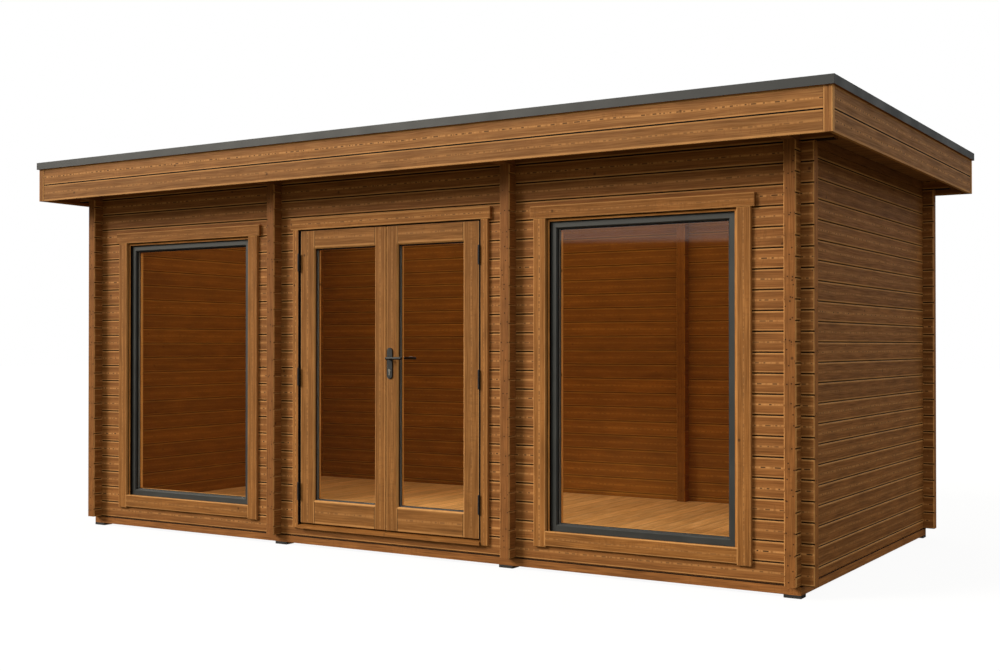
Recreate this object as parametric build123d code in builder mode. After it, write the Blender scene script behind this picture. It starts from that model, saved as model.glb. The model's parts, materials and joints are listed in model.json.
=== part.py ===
"""Garden office pod of interlocking logs with a flat roof, two fixed windows and a pair of glazed doors.

Millimetres, +Z up, ground at Z = 0, front towards -Y, +X to the right as seen from the front.
The origin lies on the ground under the middle of the roof.
"""
from build123d import *
import os

# Log walls
course = 104.0            # height that one log adds to the wall
courses = 21
log_thickness = 64.0
log_chamfer = 6.0         # bevel along both edges of each log face, which makes the V joint
end_chamfer = 5.0         # bevel up the free ends of the logs
log_end = 68.0            # how far the logs run past a crossing wall
notch_gap = 0.3           # slack at each side of a notch
wall_length = 5050.0
wall_depth = 2440.0
pier_spacing = 1718.0     # between the middles of the two piers of the front
sill_courses = 1          # the front's bottom log, which runs under every opening
head_courses = 18         # the front is whole again from this log up

# Base and floor
pad_height = 16.0
pad_size = 90.0
pads_per_side = 4
bearer_height = 48.0
bearer_width = 70.0
mitre_gap = 0.6
joist_height = 45.0
joist_width = 45.0
joist_count = 13
floor_thickness = 28.0
floor_gap = 4.0           # round the floor, for the boards to swell

# Roof
overhang_front = 280.0
overhang_back = 210.0
overhang_side = 250.0
plate_height = 52.0
plate_reach = 168.0       # how far the wall plates run past the side walls
beam_height = 140.0
soffit_thickness = 18.0
deck_thickness = 18.0
membrane_thickness = 3.0
fall = 34.0               # what the deck drops from front to back
fascia_board = 109.0
fascia_thickness = 20.0
fascia_drop = 14.0        # how far the fascia hangs below the tops of the walls
fascia_groove = 5.0
post_front = 45.0
post_side = 30.0
post_proud = 3.0          # how far the corner posts stand in front of the fascia boards
post_bevel = 2.0
trim_height = 46.0
trim_lip = 12.0
trim_sheet = 2.0
trim_top = 70.0

# Fixed windows
window_spacing = 3290.0
window_width = 1076.0     # clear width of the timber lining
window_bottom = 163.0     # above the bottom of the walls
window_height = 1695.0
lining_thickness = 24.0
lining_fit = 0.3
sash_gap = 3.0
sash_face = 36.0
sash_depth = 40.0
sash_setback = 16.0
sash_bevel = 6.0
pane_thickness = 6.0
pane_rebate = 12.0
trim_width = 75.0
trim_thickness = 20.0
head_trim_height = 70.0
head_trim_extra = 2.0     # the head board is that much thicker than the side boards
head_trim_reach = 21.0
trim_bevel = 3.0
trim_reveal = 16.0
sill_board_height = 80.0
trim_leg = 8.0            # the side boards end that much below the bottom board

# Doors
leaf_width = 658.0
leaf_height = 1802.0
leaf_thickness = 48.0
leaf_bottom = 85.0        # above the bottom of the walls
leaf_proud = 12.0         # the leaves stand that far in front of the log faces
leaf_gap = 6.0
meeting_gap = 6.0
meeting_bevel = 4.0
hinge_stile = 114.0
meeting_stile = 82.0
top_rail = 114.0
bottom_rail = 143.0
leaf_bevel = 2.0
leaf_moulding = 8.0       # slope round the glass
joint_line = 1.6          # groove where a rail meets a stile
stop_gap = 5.0
stop_width = 14.0
jamb_thickness = 28.0
threshold_height = 28.0
threshold_nose = 30.0
threshold_fall = 9.0      # slope of the threshold's top, which sheds water
door_trim_width = 50.0
door_trim_reach = 17.0

# Hinges and handle
hinge_height = 104.0
hinge_count = 3
hinge_first = 195.0       # from the leaf's top to the middle of the first hinge
hinge_last = 195.0
pin_radius = 3.0
knuckle_radius = 6.0
pin_proud = 27.0          # from the log faces to the pins
pin_clearance = 0.06
knuckle_gap = 0.5
hinge_plate = 1.8
hinge_depth = 29.0        # how far the hinge plates run into the joint behind the leaf's face
handle_height = 1018.0    # from the leaf's bottom to the lever
handle_backset = 28.0
plate_width = 40.0
plate_tall = 184.0
plate_thick = 8.0
plate_above = 62.0
plate_round = 19.0
plate_bevel = 1.5
lever_reach = 112.0
lever_radius = 8.0
lever_offset = 48.0
lever_bend = 14.0
neck_radius = 9.0
neck_length = 18.0
spindle_radius = 6.0
spindle_gap = 0.3
lock_below = 72.0         # from the lever down to the lock
lock_radius = 8.5
lock_width = 10.0
lock_tail = 24.5
lock_proud = 1.5
key_width = 2.4
key_height = 9.0
key_depth = 6.0

# Levels and lines that follow from the sizes above
half_length = wall_length / 2
half_log = log_thickness / 2
base_top = pad_height + bearer_height
wall_top = base_top + courses * course
roof_depth = overhang_front + wall_depth + overhang_back
front_face = overhang_front - roof_depth / 2
back_face = front_face + wall_depth
front_line = front_face + half_log
back_line = back_face - half_log
side_line = half_length - half_log
pier_line = pier_spacing / 2
fascia_bottom = wall_top - fascia_drop
fascia_top = fascia_bottom + 2 * fascia_board
soffit_bottom = wall_top + plate_height
beam_top = wall_top + beam_height
roof_top = fascia_top + trim_height
floor_top = base_top + joist_height + floor_thickness
fascia_depth = fascia_thickness + post_proud
fascia_front_face = front_face - overhang_front
fascia_back_face = back_face + overhang_back
fascia_side_face = half_length + overhang_side
door_half = leaf_width + meeting_gap / 2 + leaf_gap
leaf_low = base_top + leaf_bottom
leaf_high = leaf_low + leaf_height
leaf_face = front_face - leaf_proud
leaf_back = leaf_face + leaf_thickness
pin_line = front_face - pin_proud
pin_x = door_half - leaf_gap / 2
margin = 10.0             # how far a cut runs past what it cuts
near = 1.0                # slack when a face or joint is looked up by its place


def log_outline(first_joint):
    """Section of a stack of logs: joints every course from first_joint up, beveled on both faces."""
    joints = [base_top]
    level = base_top + first_joint
    while level < wall_top - near:
        if level > base_top + near:
            joints.append(level)
        level += course
    joints.append(wall_top)
    side = []
    for low, high in zip(joints, joints[1:]):
        side.append((half_log - log_chamfer, low))
        side.append((half_log, low + log_chamfer))
        side.append((half_log, high - log_chamfer))
    side.append((half_log - log_chamfer, wall_top))
    return side + [(-across, level) for across, level in reversed(side)]


def plan_outline(start, end):
    """Plan of a run of logs, with the corners of both ends cut off."""
    first, last = start + end_chamfer, end - end_chamfer
    flat = half_log - end_chamfer
    return [
        (first, half_log), (last, half_log), (end, flat), (end, -flat),
        (last, -half_log), (first, -half_log), (start, -flat), (start, flat),
    ]


def log_wall(frame, start, end, first_joint, crossings, notch_start):
    """A run of stacked logs along the X axis of frame, notched where other logs cross it."""
    with BuildPart() as run:
        section = Plane(frame.origin + frame.x_dir * start, x_dir=frame.y_dir, z_dir=frame.x_dir)
        with BuildSketch(section):
            with BuildLine():
                Polyline(*log_outline(first_joint), close=True)
            make_face()
        extrude(amount=end - start)
        with BuildSketch(frame.offset(base_top - margin)):
            with BuildLine():
                Polyline(*plan_outline(start, end), close=True)
            make_face()
        extrude(amount=courses * course + 2 * margin, mode=Mode.INTERSECT)
        across = Plane(frame.origin, x_dir=frame.x_dir, z_dir=-frame.y_dir)
        first_notch = base_top + notch_start + course / 4
        notch_levels = [first_notch + n * course for n in range(courses + 1)]
        with BuildSketch(across):
            with Locations(*[(crossing, level) for crossing in crossings for level in notch_levels]):
                Rectangle(log_thickness + 2 * notch_gap, course / 2)
        extrude(amount=half_log + margin, both=True, mode=Mode.SUBTRACT)
    return run


def save(part, label):
    """Labels a finished piece and writes its file."""
    part.label = label
    export_step(part, f"parts/{label}.step")


os.makedirs("parts", exist_ok=True)

front_frame = Plane(origin=(0, front_line, 0))
back_frame = Plane(origin=(0, back_line, 0))
left_frame = Plane(origin=(-side_line, 0, 0), x_dir=(0, 1, 0), z_dir=(0, 0, 1))
right_frame = Plane(origin=(side_line, 0, 0), x_dir=(0, 1, 0), z_dir=(0, 0, 1))

# Front wall: one run of logs, cut for the openings, parted at logs 1 and 18 and beside the doorway
wall_reach = half_length + log_end
front_crossings = [-side_line, -pier_line, pier_line, side_line]
front_run = log_wall(front_frame, -wall_reach, wall_reach, course, front_crossings, -course / 4)
window_cut_width = window_width + 2 * (lining_thickness + lining_fit)
window_cut_low = base_top + window_bottom - lining_thickness - lining_fit
window_cut_high = base_top + window_bottom + window_height + lining_thickness + lining_fit
door_cut_half = door_half + jamb_thickness + lining_fit
door_cut_low = leaf_low - leaf_gap - threshold_height
door_cut_high = leaf_high + leaf_gap + jamb_thickness + lining_fit
middle_window = window_spacing / 2
window_lines = (-middle_window, middle_window)
window_cut_middle = (window_cut_low + window_cut_high) / 2
with BuildPart() as front_wall:
    add(front_run.part)
    with BuildSketch(Plane.XZ.offset(-front_face + margin)):
        with Locations(*[(x_middle, window_cut_middle) for x_middle in window_lines]):
            Rectangle(window_cut_width, window_cut_high - window_cut_low)
        with Locations((0, (door_cut_low + door_cut_high) / 2)):
            Rectangle(2 * door_cut_half, door_cut_high - door_cut_low)
    extrude(amount=-log_thickness - 2 * margin, mode=Mode.SUBTRACT)

sill_top = base_top + sill_courses * course
head_bottom = base_top + head_courses * course
front_pieces = {
    "front_sill_logs": (door_cut_half, wall_reach, base_top, sill_top),
    "front_head_logs": (door_cut_half, wall_reach, head_bottom, wall_top),
    "front_outer_walls": (middle_window, wall_reach, sill_top, head_bottom),
    "front_inner_walls": (door_cut_half, middle_window, sill_top, head_bottom),
    "doorway_sill_log": (-door_cut_half, door_cut_half, base_top, sill_top),
    "doorway_head_logs": (-door_cut_half, door_cut_half, head_bottom, wall_top),
}
for label, (x_low, x_high, z_low, z_high) in front_pieces.items():
    with BuildPart() as piece:
        add(front_wall.part)
        with BuildSketch(Plane.XY.offset(z_low)):
            for side in (-1, 1):
                with Locations((side * (x_low + x_high) / 2, front_line)):
                    Rectangle(x_high - x_low, log_thickness + margin)
        extrude(amount=z_high - z_low, mode=Mode.INTERSECT)
    save(piece.part, label)

# Back and side walls
back_wall = log_wall(back_frame, -wall_reach, wall_reach, course, front_crossings, -course / 4)
save(back_wall.part, "back_wall")
side_crossings = [front_line, back_line]
side_start = front_face - log_end
side_end = back_face + log_end
for label, frame in (("left_wall", left_frame), ("right_wall", right_frame)):
    side_wall = log_wall(frame, side_start, side_end, course / 2, side_crossings, course / 4)
    save(side_wall.part, label)

# Piers: short logs crossing the front and back walls
pier_frame = Plane(origin=(pier_line, 0, 0), x_dir=(0, 1, 0), z_dir=(0, 0, 1))
pier_reach = half_log + log_end
for label, y_line in (("front_piers", front_line), ("back_piers", back_line)):
    pier = log_wall(pier_frame, y_line - pier_reach, y_line + pier_reach, course / 2, [y_line], course / 4)
    with BuildPart() as piers:
        add(pier.part)
        mirror(about=Plane.YZ)
    save(piers.part, label)

# Base: mitred bearers flush with the walls, on pads, and the floor on its joists
wall_middle = (front_face + back_face) / 2
bearer_line = half_length - bearer_width / 2
with BuildPart() as bearers:
    with BuildSketch(Plane.XY.offset(pad_height)):
        with Locations((0, wall_middle)):
            Rectangle(wall_length, wall_depth)
            Rectangle(wall_length - 2 * bearer_width, wall_depth - 2 * bearer_width, mode=Mode.SUBTRACT)
        for x_side in (-1, 1):
            for y_side in (-1, 1):
                with Locations((x_side * bearer_line, wall_middle + y_side * (wall_depth - bearer_width) / 2)):
                    Rectangle(mitre_gap, 2 * bearer_width, rotation=-45 * x_side * y_side, mode=Mode.SUBTRACT)
    extrude(amount=bearer_height)
save(bearers.part, "base_bearers")

pad_line = half_length - pad_size / 2
with BuildPart() as pads:
    with BuildSketch(Plane.XY):
        for y_line in (front_face + bearer_width / 2, back_face - bearer_width / 2):
            with Locations((0, y_line)):
                with GridLocations(2 * pad_line / (pads_per_side - 1), 1, pads_per_side, 1):
                    Rectangle(pad_size, bearer_width)
    extrude(amount=pad_height)
save(pads.part, "base_pads")

floor_length = wall_length - 2 * log_thickness - 2 * floor_gap
floor_depth = wall_depth - 2 * log_thickness - 2 * floor_gap
joist_pitch = (floor_length - joist_width) / (joist_count - 1)
pier_places = [(x_line, y_line) for x_line in (-pier_line, pier_line) for y_line in (front_line, back_line)]
pier_clear = log_thickness + 2 * floor_gap
pier_clear_depth = 2 * (half_log + log_end + floor_gap)
with BuildPart() as joists:
    with BuildSketch(Plane.XY.offset(base_top)):
        with Locations((0, wall_middle)):
            with GridLocations(joist_pitch, 1, joist_count, 1):
                Rectangle(joist_width, floor_depth)
        with Locations(*pier_places):
            Rectangle(pier_clear, pier_clear_depth, mode=Mode.SUBTRACT)
    extrude(amount=joist_height)
save(joists.part, "floor_joists")

with BuildPart() as floor:
    with BuildSketch(Plane.XY.offset(base_top + joist_height)):
        with Locations((0, wall_middle)):
            Rectangle(floor_length, floor_depth)
        with Locations(*pier_places):
            Rectangle(pier_clear, pier_clear_depth, mode=Mode.SUBTRACT)
    extrude(amount=floor_thickness)
save(floor.part, "floor_deck")

# Roof: plates on the front and back walls, beams over the side walls and piers
beam_start = fascia_front_face + fascia_depth
beam_end = fascia_back_face - fascia_depth
plate_half = half_length + plate_reach
for label, y_line in (("front_plate", front_line), ("back_plate", back_line)):
    with BuildPart() as plate:
        with BuildSketch(Plane.XY.offset(wall_top)):
            with Locations((0, y_line)):
                Rectangle(2 * plate_half, log_thickness)
        extrude(amount=plate_height)
        with BuildSketch(Plane.XY.offset(wall_top + plate_height / 2)):
            for x_line in front_crossings:
                with Locations((x_line, y_line)):
                    Rectangle(log_thickness + 2 * notch_gap, log_thickness)
        extrude(amount=plate_height / 2, mode=Mode.SUBTRACT)
    save(plate.part, label)

deck_front = roof_top - trim_sheet - deck_thickness - membrane_thickness
deck_back = deck_front - fall
with BuildPart() as beams:
    for x_line in front_crossings:
        with BuildSketch(Plane.YZ.offset(x_line - half_log)):
            with BuildLine():
                Polyline(
                    (beam_start, wall_top), (beam_end, wall_top), (beam_end, deck_back),
                    (beam_start, deck_front), close=True,
                )
            make_face()
            for y_line in (front_line, back_line):
                with Locations((y_line, wall_top + plate_height / 4)):
                    Rectangle(log_thickness + 2 * notch_gap, plate_height / 2, mode=Mode.SUBTRACT)
        extrude(amount=log_thickness)
save(beams.part, "roof_beams")

half_roof = fascia_side_face - fascia_depth
with BuildPart() as deck:
    with BuildSketch(Plane.YZ.offset(-half_roof)):
        with BuildLine():
            Polyline(
                (beam_start, deck_front), (beam_end, deck_back),
                (beam_end, deck_back + deck_thickness), (beam_start, deck_front + deck_thickness), close=True,
            )
        make_face()
    extrude(amount=2 * half_roof)
save(deck.part, "roof_deck")

with BuildPart() as membrane:
    with BuildSketch(Plane.YZ.offset(-half_roof)):
        with BuildLine():
            Polyline(
                (beam_start, deck_front + deck_thickness), (beam_end, deck_back + deck_thickness),
                (beam_end, deck_back + deck_thickness + membrane_thickness),
                (beam_start, deck_front + deck_thickness + membrane_thickness), close=True,
            )
        make_face()
    extrude(amount=2 * half_roof)
save(membrane.part, "roof_membrane")

# Soffit round the walls and ceiling inside, laid between the beams
with BuildPart() as soffit:
    with BuildSketch(Plane.XY.offset(soffit_bottom)):
        with Locations((0, (beam_start + beam_end) / 2)):
            Rectangle(2 * half_roof, beam_end - beam_start)
        for x_line in front_crossings:
            with Locations((x_line, (beam_start + beam_end) / 2)):
                Rectangle(log_thickness + 2 * notch_gap, beam_end - beam_start + margin, mode=Mode.SUBTRACT)
    extrude(amount=soffit_thickness)
save(soffit.part, "soffit_boards")

# Fascia boards with a groove between them, corner posts and the metal edge
def fascia_run(section, length):
    """Two fascia boards, one above the other, with the groove between them on the outer face."""
    with BuildPart() as run:
        with BuildSketch(section):
            with BuildLine():
                Polyline(
                    (0, fascia_bottom), (fascia_thickness, fascia_bottom), (fascia_thickness, fascia_top),
                    (0, fascia_top), (0, fascia_bottom + fascia_board + fascia_groove / 2),
                    (fascia_groove, fascia_bottom + fascia_board),
                    (0, fascia_bottom + fascia_board - fascia_groove / 2), close=True,
                )
            make_face()
        extrude(amount=length)
    return run


long_run = 2 * (fascia_side_face - post_front)
short_run = roof_depth - 2 * post_side
front_section = Plane(origin=(-long_run / 2, fascia_front_face + post_proud, 0), x_dir=(0, 1, 0), z_dir=(1, 0, 0))
back_section = Plane(origin=(long_run / 2, fascia_back_face - post_proud, 0), x_dir=(0, -1, 0), z_dir=(-1, 0, 0))
side_section = Plane(
    origin=(fascia_side_face - post_proud, fascia_front_face + post_side, 0), x_dir=(-1, 0, 0), z_dir=(0, 1, 0))
for label, section, length in (("fascia_front", front_section, long_run), ("fascia_back", back_section, long_run)):
    run = fascia_run(section, length)
    save(run.part, label)
side_run = fascia_run(side_section, short_run)
with BuildPart() as side_runs:
    add(side_run.part)
    mirror(about=Plane.YZ)
save(side_runs.part, "fascia_sides")

with BuildPart() as posts:
    with BuildSketch(Plane.XY.offset(fascia_bottom)):
        for x_side in (-1, 1):
            for y_side, y_face in ((-1, fascia_front_face), (1, fascia_back_face)):
                with Locations((x_side * (fascia_side_face - post_front / 2), y_face - y_side * post_side / 2)):
                    Rectangle(post_front, post_side)
        Rectangle(2 * half_roof, beam_end - beam_start, mode=Mode.SUBTRACT)
    extrude(amount=fascia_top - fascia_bottom)
    upright = posts.edges().filter_by(Axis.Z)
    proud = [
        edge for edge in upright
        if abs(edge.center().X) > fascia_side_face - near
        or not fascia_front_face + near < edge.center().Y < fascia_back_face - near
    ]
    chamfer(proud, post_bevel)
save(posts.part, "fascia_posts")


def mitre_cuts(length, depth):
    """Cuts a ring of boards or sheet across its four corners, inside a sketch."""
    for x_side in (-1, 1):
        for y_side in (-1, 1):
            with Locations((x_side * length / 2, y_side * depth / 2)):
                Rectangle(mitre_gap, 4 * trim_top, rotation=-45 * x_side * y_side, mode=Mode.SUBTRACT)


trim_length = 2 * (fascia_side_face + trim_lip)
trim_depth = roof_depth + 2 * trim_lip
kerb_top = roof_top - trim_sheet
kerb_length = trim_length - 2 * trim_sheet
kerb_depth = trim_depth - 2 * trim_sheet
with BuildPart() as kerb:
    with BuildSketch(Plane.XY.offset(fascia_top)):
        Rectangle(kerb_length, kerb_depth)
        Rectangle(2 * half_roof, beam_end - beam_start, mode=Mode.SUBTRACT)
        mitre_cuts(kerb_length, kerb_depth)
    extrude(amount=kerb_top - fascia_top)
save(kerb.part, "roof_kerb")

with BuildPart() as edge_trim:
    with BuildSketch(Plane.XY.offset(fascia_top)):
        Rectangle(trim_length, trim_depth)
        Rectangle(kerb_length, kerb_depth, mode=Mode.SUBTRACT)
        mitre_cuts(trim_length, trim_depth)
    extrude(amount=trim_height)
    with BuildSketch(Plane.XY.offset(kerb_top)):
        Rectangle(trim_length, trim_depth)
        Rectangle(trim_length - 2 * trim_top, trim_depth - 2 * trim_top, mode=Mode.SUBTRACT)
        mitre_cuts(trim_length, trim_depth)
    extrude(amount=trim_sheet)
save(edge_trim.part, "roof_edge_trim")

# Fixed windows: lining, frame, glass and trim of both
face = Plane.XZ.offset(-front_face)


def front_edges(part, level):
    """Edges of the faces that lie at one depth, to be beveled."""
    return part.faces().filter_by_position(Axis.Y, level - near, level + near).edges()


clear_low = base_top + window_bottom
clear_middle = clear_low + window_height / 2
with BuildPart() as linings:
    with BuildSketch(face):
        with Locations(*[(x_middle, clear_middle) for x_middle in window_lines]):
            Rectangle(window_width + 2 * lining_thickness, window_height + 2 * lining_thickness)
            Rectangle(window_width, window_height, mode=Mode.SUBTRACT)
    extrude(amount=-log_thickness)
save(linings.part, "window_linings")

sash_width = window_width - 2 * sash_gap
sash_height = window_height - sash_gap
sash_middle = clear_low + sash_height / 2
sash_places = [(x_middle, sash_middle) for x_middle in window_lines]
sight_width = sash_width - 2 * sash_face
sight_height = sash_height - 2 * sash_face
sash_front = front_face + sash_setback
pane_front = sash_setback + (sash_depth - pane_thickness) / 2
with BuildPart() as sashes:
    with BuildSketch(face.offset(-sash_setback)):
        with Locations(*sash_places):
            Rectangle(sash_width, sash_height)
            Rectangle(sight_width, sight_height, mode=Mode.SUBTRACT)
    extrude(amount=-sash_depth)
    sash_fronts = sashes.faces().filter_by_position(Axis.Y, sash_front - near, sash_front + near)
    chamfer([edge for front in sash_fronts for edge in front.inner_wires()[0].edges()], sash_bevel)
    with BuildSketch(face.offset(-pane_front)):
        with Locations(*sash_places):
            Rectangle(sight_width + 2 * pane_rebate, sight_height + 2 * pane_rebate)
    extrude(amount=-pane_thickness, mode=Mode.SUBTRACT)
save(sashes.part, "window_frames")

with BuildPart() as panes:
    with BuildSketch(face.offset(-pane_front)):
        with Locations(*sash_places):
            Rectangle(sight_width + 2 * pane_rebate, sight_height + 2 * pane_rebate)
    extrude(amount=-pane_thickness)
save(panes.part, "window_glass")

inner_half = window_width / 2 + trim_reveal
outer_half = inner_half + trim_width
head_low = clear_low + window_height + trim_reveal
leg_low = clear_low - sill_board_height - trim_leg
trim_front = front_face - trim_thickness
head_front = trim_front - head_trim_extra
with BuildPart() as window_trims:
    with BuildSketch(face):
        for x_middle in window_lines:
            for side in (-1, 1):
                with Locations((x_middle + side * (inner_half + trim_width / 2), (leg_low + head_low) / 2)):
                    Rectangle(trim_width, head_low - leg_low)
            with Locations((x_middle, clear_low - sill_board_height / 2)):
                Rectangle(2 * inner_half, sill_board_height)
    extrude(amount=trim_thickness)
    chamfer(front_edges(window_trims, trim_front), trim_bevel)
    with BuildSketch(face):
        with Locations(*[(x_middle, head_low + head_trim_height / 2) for x_middle in window_lines]):
            Rectangle(2 * (outer_half + head_trim_reach), head_trim_height)
    extrude(amount=trim_thickness + head_trim_extra)
    chamfer(front_edges(window_trims, head_front), trim_bevel)
save(window_trims.part, "window_trims")

# Door frame: jambs and head with the stop behind the leaves, threshold and trim
frame_low = door_cut_low
frame_high = leaf_high + leaf_gap
stop_front = leaf_back + stop_gap - front_face
with BuildPart() as jambs:
    with BuildSketch(face):
        for side in (-1, 1):
            with Locations((side * (door_half + jamb_thickness / 2), (frame_low + frame_high) / 2)):
                Rectangle(jamb_thickness, frame_high - frame_low)
    extrude(amount=-log_thickness)
    with BuildSketch(face.offset(-stop_front)):
        for side in (-1, 1):
            with Locations((side * (door_half - stop_width / 2), (leaf_low + frame_high) / 2)):
                Rectangle(stop_width, frame_high - leaf_low)
    extrude(amount=-(log_thickness - stop_front))
save(jambs.part, "door_jambs")

with BuildPart() as door_head:
    with BuildSketch(face):
        with Locations((0, frame_high + jamb_thickness / 2)):
            Rectangle(2 * (door_half + jamb_thickness), jamb_thickness)
    extrude(amount=-log_thickness)
    with BuildSketch(face.offset(-stop_front)):
        with Locations((0, frame_high - stop_width / 2)):
            Rectangle(2 * (door_half - stop_width), stop_width)
    extrude(amount=-(log_thickness - stop_front))
save(door_head.part, "door_head")

with BuildPart() as threshold:
    with BuildSketch(Plane.YZ.offset(-door_half)):
        with BuildLine():
            Polyline(
                (front_face - threshold_nose, door_cut_low),
                (front_face - threshold_nose, door_cut_low + threshold_height - threshold_fall),
                (leaf_back, door_cut_low + threshold_height),
                (front_face + log_thickness, door_cut_low + threshold_height),
                (front_face + log_thickness, door_cut_low), close=True,
            )
        make_face()
    extrude(amount=2 * door_half)
save(threshold.part, "door_threshold")

with BuildPart() as door_trim:
    with BuildSketch(face):
        for side in (-1, 1):
            with Locations((side * (door_half + door_trim_width / 2), (door_cut_low + frame_high) / 2)):
                Rectangle(door_trim_width, frame_high - door_cut_low)
    extrude(amount=trim_thickness)
    chamfer(front_edges(door_trim, trim_front), trim_bevel)
    with BuildSketch(face):
        with Locations((0, frame_high + head_trim_height / 2)):
            Rectangle(2 * (door_half + door_trim_width + door_trim_reach), head_trim_height)
    extrude(amount=trim_thickness + head_trim_extra)
    chamfer(front_edges(door_trim, head_front), trim_bevel)
save(door_trim.part, "door_trim")

# Door leaves, their glass and hinges; the pair mirrors about the middle, the handle is on the right leaf
glass_low = leaf_low + bottom_rail
glass_high = leaf_high - top_rail
hinge_levels = [
    leaf_high - hinge_first - n * (leaf_height - hinge_first - hinge_last) / (hinge_count - 1)
    for n in range(hinge_count)
]
meeting = meeting_gap / 2
outer = meeting + leaf_width
handle_x = meeting + handle_backset
handle_z = leaf_low + handle_height
lock_z = handle_z - lock_below
third = hinge_height / 3
hinge_back = leaf_face + hinge_depth


def lock_outline(slack):
    """Pear-shaped outline of the lock: a round barrel over a narrow tail, inside a sketch."""
    with Locations((handle_x, lock_z)):
        Circle(lock_radius + slack)
    with Locations((handle_x, lock_z - lock_tail / 2)):
        SlotOverall(lock_tail + lock_width, lock_width + 2 * slack, rotation=90)


for side_name, side in (("left", -1), ("right", 1)):
    glass_inner = meeting + meeting_stile
    glass_outer = outer - hinge_stile
    glass_middle = side * (glass_inner + glass_outer) / 2
    with BuildPart() as leaf:
        with BuildSketch(Plane.XY.offset(leaf_low)):
            with BuildLine():
                Polyline(
                    (side * meeting, leaf_face), (side * outer, leaf_face), (side * outer, leaf_back),
                    (side * (meeting + meeting_bevel), leaf_back), close=True,
                )
            make_face()
        extrude(amount=leaf_height)
        with BuildSketch(Plane.XZ.offset(-leaf_face)):
            with Locations((glass_middle, (glass_low + glass_high) / 2)):
                Rectangle(glass_outer - glass_inner, glass_high - glass_low)
        extrude(amount=-leaf_thickness, mode=Mode.SUBTRACT)
        leaf_front = leaf.faces().sort_by(Axis.Y)[0]
        chamfer(leaf_front.inner_wires()[0].edges(), leaf_moulding)
        leaf_front = leaf.faces().sort_by(Axis.Y)[0]
        chamfer(leaf_front.outer_wire().edges(), leaf_bevel)
        rail_low = glass_low - leaf_moulding
        rail_high = glass_high + leaf_moulding
        with BuildSketch(Plane.XZ.offset(-leaf_face)):
            for x_joint in (side * glass_inner, side * glass_outer):
                for z_low, z_high in ((leaf_low, rail_low), (rail_high, leaf_high)):
                    with Locations((x_joint, (z_low + z_high) / 2)):
                        Rectangle(joint_line, z_high - z_low)
        extrude(amount=-joint_line, mode=Mode.SUBTRACT)
        pane_face = leaf_face + (leaf_thickness - pane_thickness) / 2
        with BuildSketch(Plane.XZ.offset(-pane_face)):
            with Locations((glass_middle, (glass_low + glass_high) / 2)):
                Rectangle(
                    glass_outer - glass_inner + 2 * pane_rebate, glass_high - glass_low + 2 * pane_rebate)
        extrude(amount=-pane_thickness, mode=Mode.SUBTRACT)
        if side_name == "right":
            with BuildSketch(Plane.XZ.offset(-leaf_face)):
                with Locations((handle_x, handle_z)):
                    Circle(spindle_radius + spindle_gap)
                lock_outline(spindle_gap)
            extrude(amount=-leaf_thickness, mode=Mode.SUBTRACT)
    save(leaf.part, f"{side_name}_door_leaf")

    with BuildPart() as pane:
        with BuildSketch(Plane.XZ.offset(-pane_face)):
            with Locations((glass_middle, (glass_low + glass_high) / 2)):
                Rectangle(
                    glass_outer - glass_inner + 2 * pane_rebate, glass_high - glass_low + 2 * pane_rebate)
        extrude(amount=-pane_thickness)
    save(pane.part, f"{side_name}_door_glass")

    with BuildPart() as moving_hinges:
        for level in hinge_levels:
            with BuildSketch(Plane.XY.offset(level - third / 2 + knuckle_gap)):
                with Locations((side * pin_x, pin_line)):
                    Circle(knuckle_radius)
                with Locations((side * (outer + hinge_plate / 2), (pin_line + hinge_back) / 2)):
                    Rectangle(hinge_plate, hinge_back - pin_line)
                with Locations((side * pin_x, pin_line)):
                    Circle(pin_radius + pin_clearance, mode=Mode.SUBTRACT)
            extrude(amount=third - 2 * knuckle_gap)
    save(moving_hinges.part, f"{side_name}_hinge_moving")

with BuildPart() as fixed_hinges:
    for side in (-1, 1):
        for level in hinge_levels:
            with BuildSketch(Plane.XY.offset(level - hinge_height / 2)):
                with Locations((side * pin_x, pin_line)):
                    Circle(pin_radius)
            extrude(amount=hinge_height)
            for low in (level - hinge_height / 2, level + third / 2 + knuckle_gap):
                with BuildSketch(Plane.XY.offset(low)):
                    with Locations((side * pin_x, pin_line)):
                        Circle(knuckle_radius)
                    with Locations((side * (door_half - hinge_plate / 2), (pin_line + hinge_back) / 2)):
                        Rectangle(hinge_plate, hinge_back - pin_line)
                extrude(amount=third - knuckle_gap)
save(fixed_hinges.part, "door_hinges_fixed")

# Handle on the right leaf: plates on both faces, one lever through the leaf and the lock under it
with BuildPart() as handle_plates:
    for start in (leaf_face - plate_thick, leaf_back):
        with BuildSketch(Plane.XZ.offset(-start)):
            with Locations((handle_x, handle_z + plate_above - plate_tall / 2)):
                RectangleRounded(plate_width, plate_tall, plate_round)
            with Locations((handle_x, handle_z)):
                Circle(neck_radius + spindle_gap, mode=Mode.SUBTRACT)
        extrude(amount=-plate_thick)
    flat_faces = handle_plates.faces().filter_by(GeomType.PLANE).sort_by(Axis.Y)
    chamfer(flat_faces[0].outer_wire().edges() + flat_faces[-1].outer_wire().edges(), plate_bevel)
    with BuildSketch(Plane.XZ.offset(-leaf_face + plate_thick + margin)):
        lock_outline(spindle_gap)
    extrude(amount=-leaf_thickness - 2 * (plate_thick + margin), mode=Mode.SUBTRACT)
save(handle_plates.part, "handle_plates")

lock_front = leaf_face - plate_thick - lock_proud
lock_back = leaf_back + plate_thick + lock_proud
with BuildPart() as door_lock:
    with BuildSketch(Plane.XZ.offset(-lock_front)):
        lock_outline(0)
    extrude(amount=-(lock_back - lock_front))
    for start in (lock_front, lock_back - key_depth):
        with BuildSketch(Plane.XZ.offset(-start)):
            with Locations((handle_x, lock_z)):
                Rectangle(key_width, key_height)
        extrude(amount=-key_depth, mode=Mode.SUBTRACT)
save(door_lock.part, "door_lock")

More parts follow.
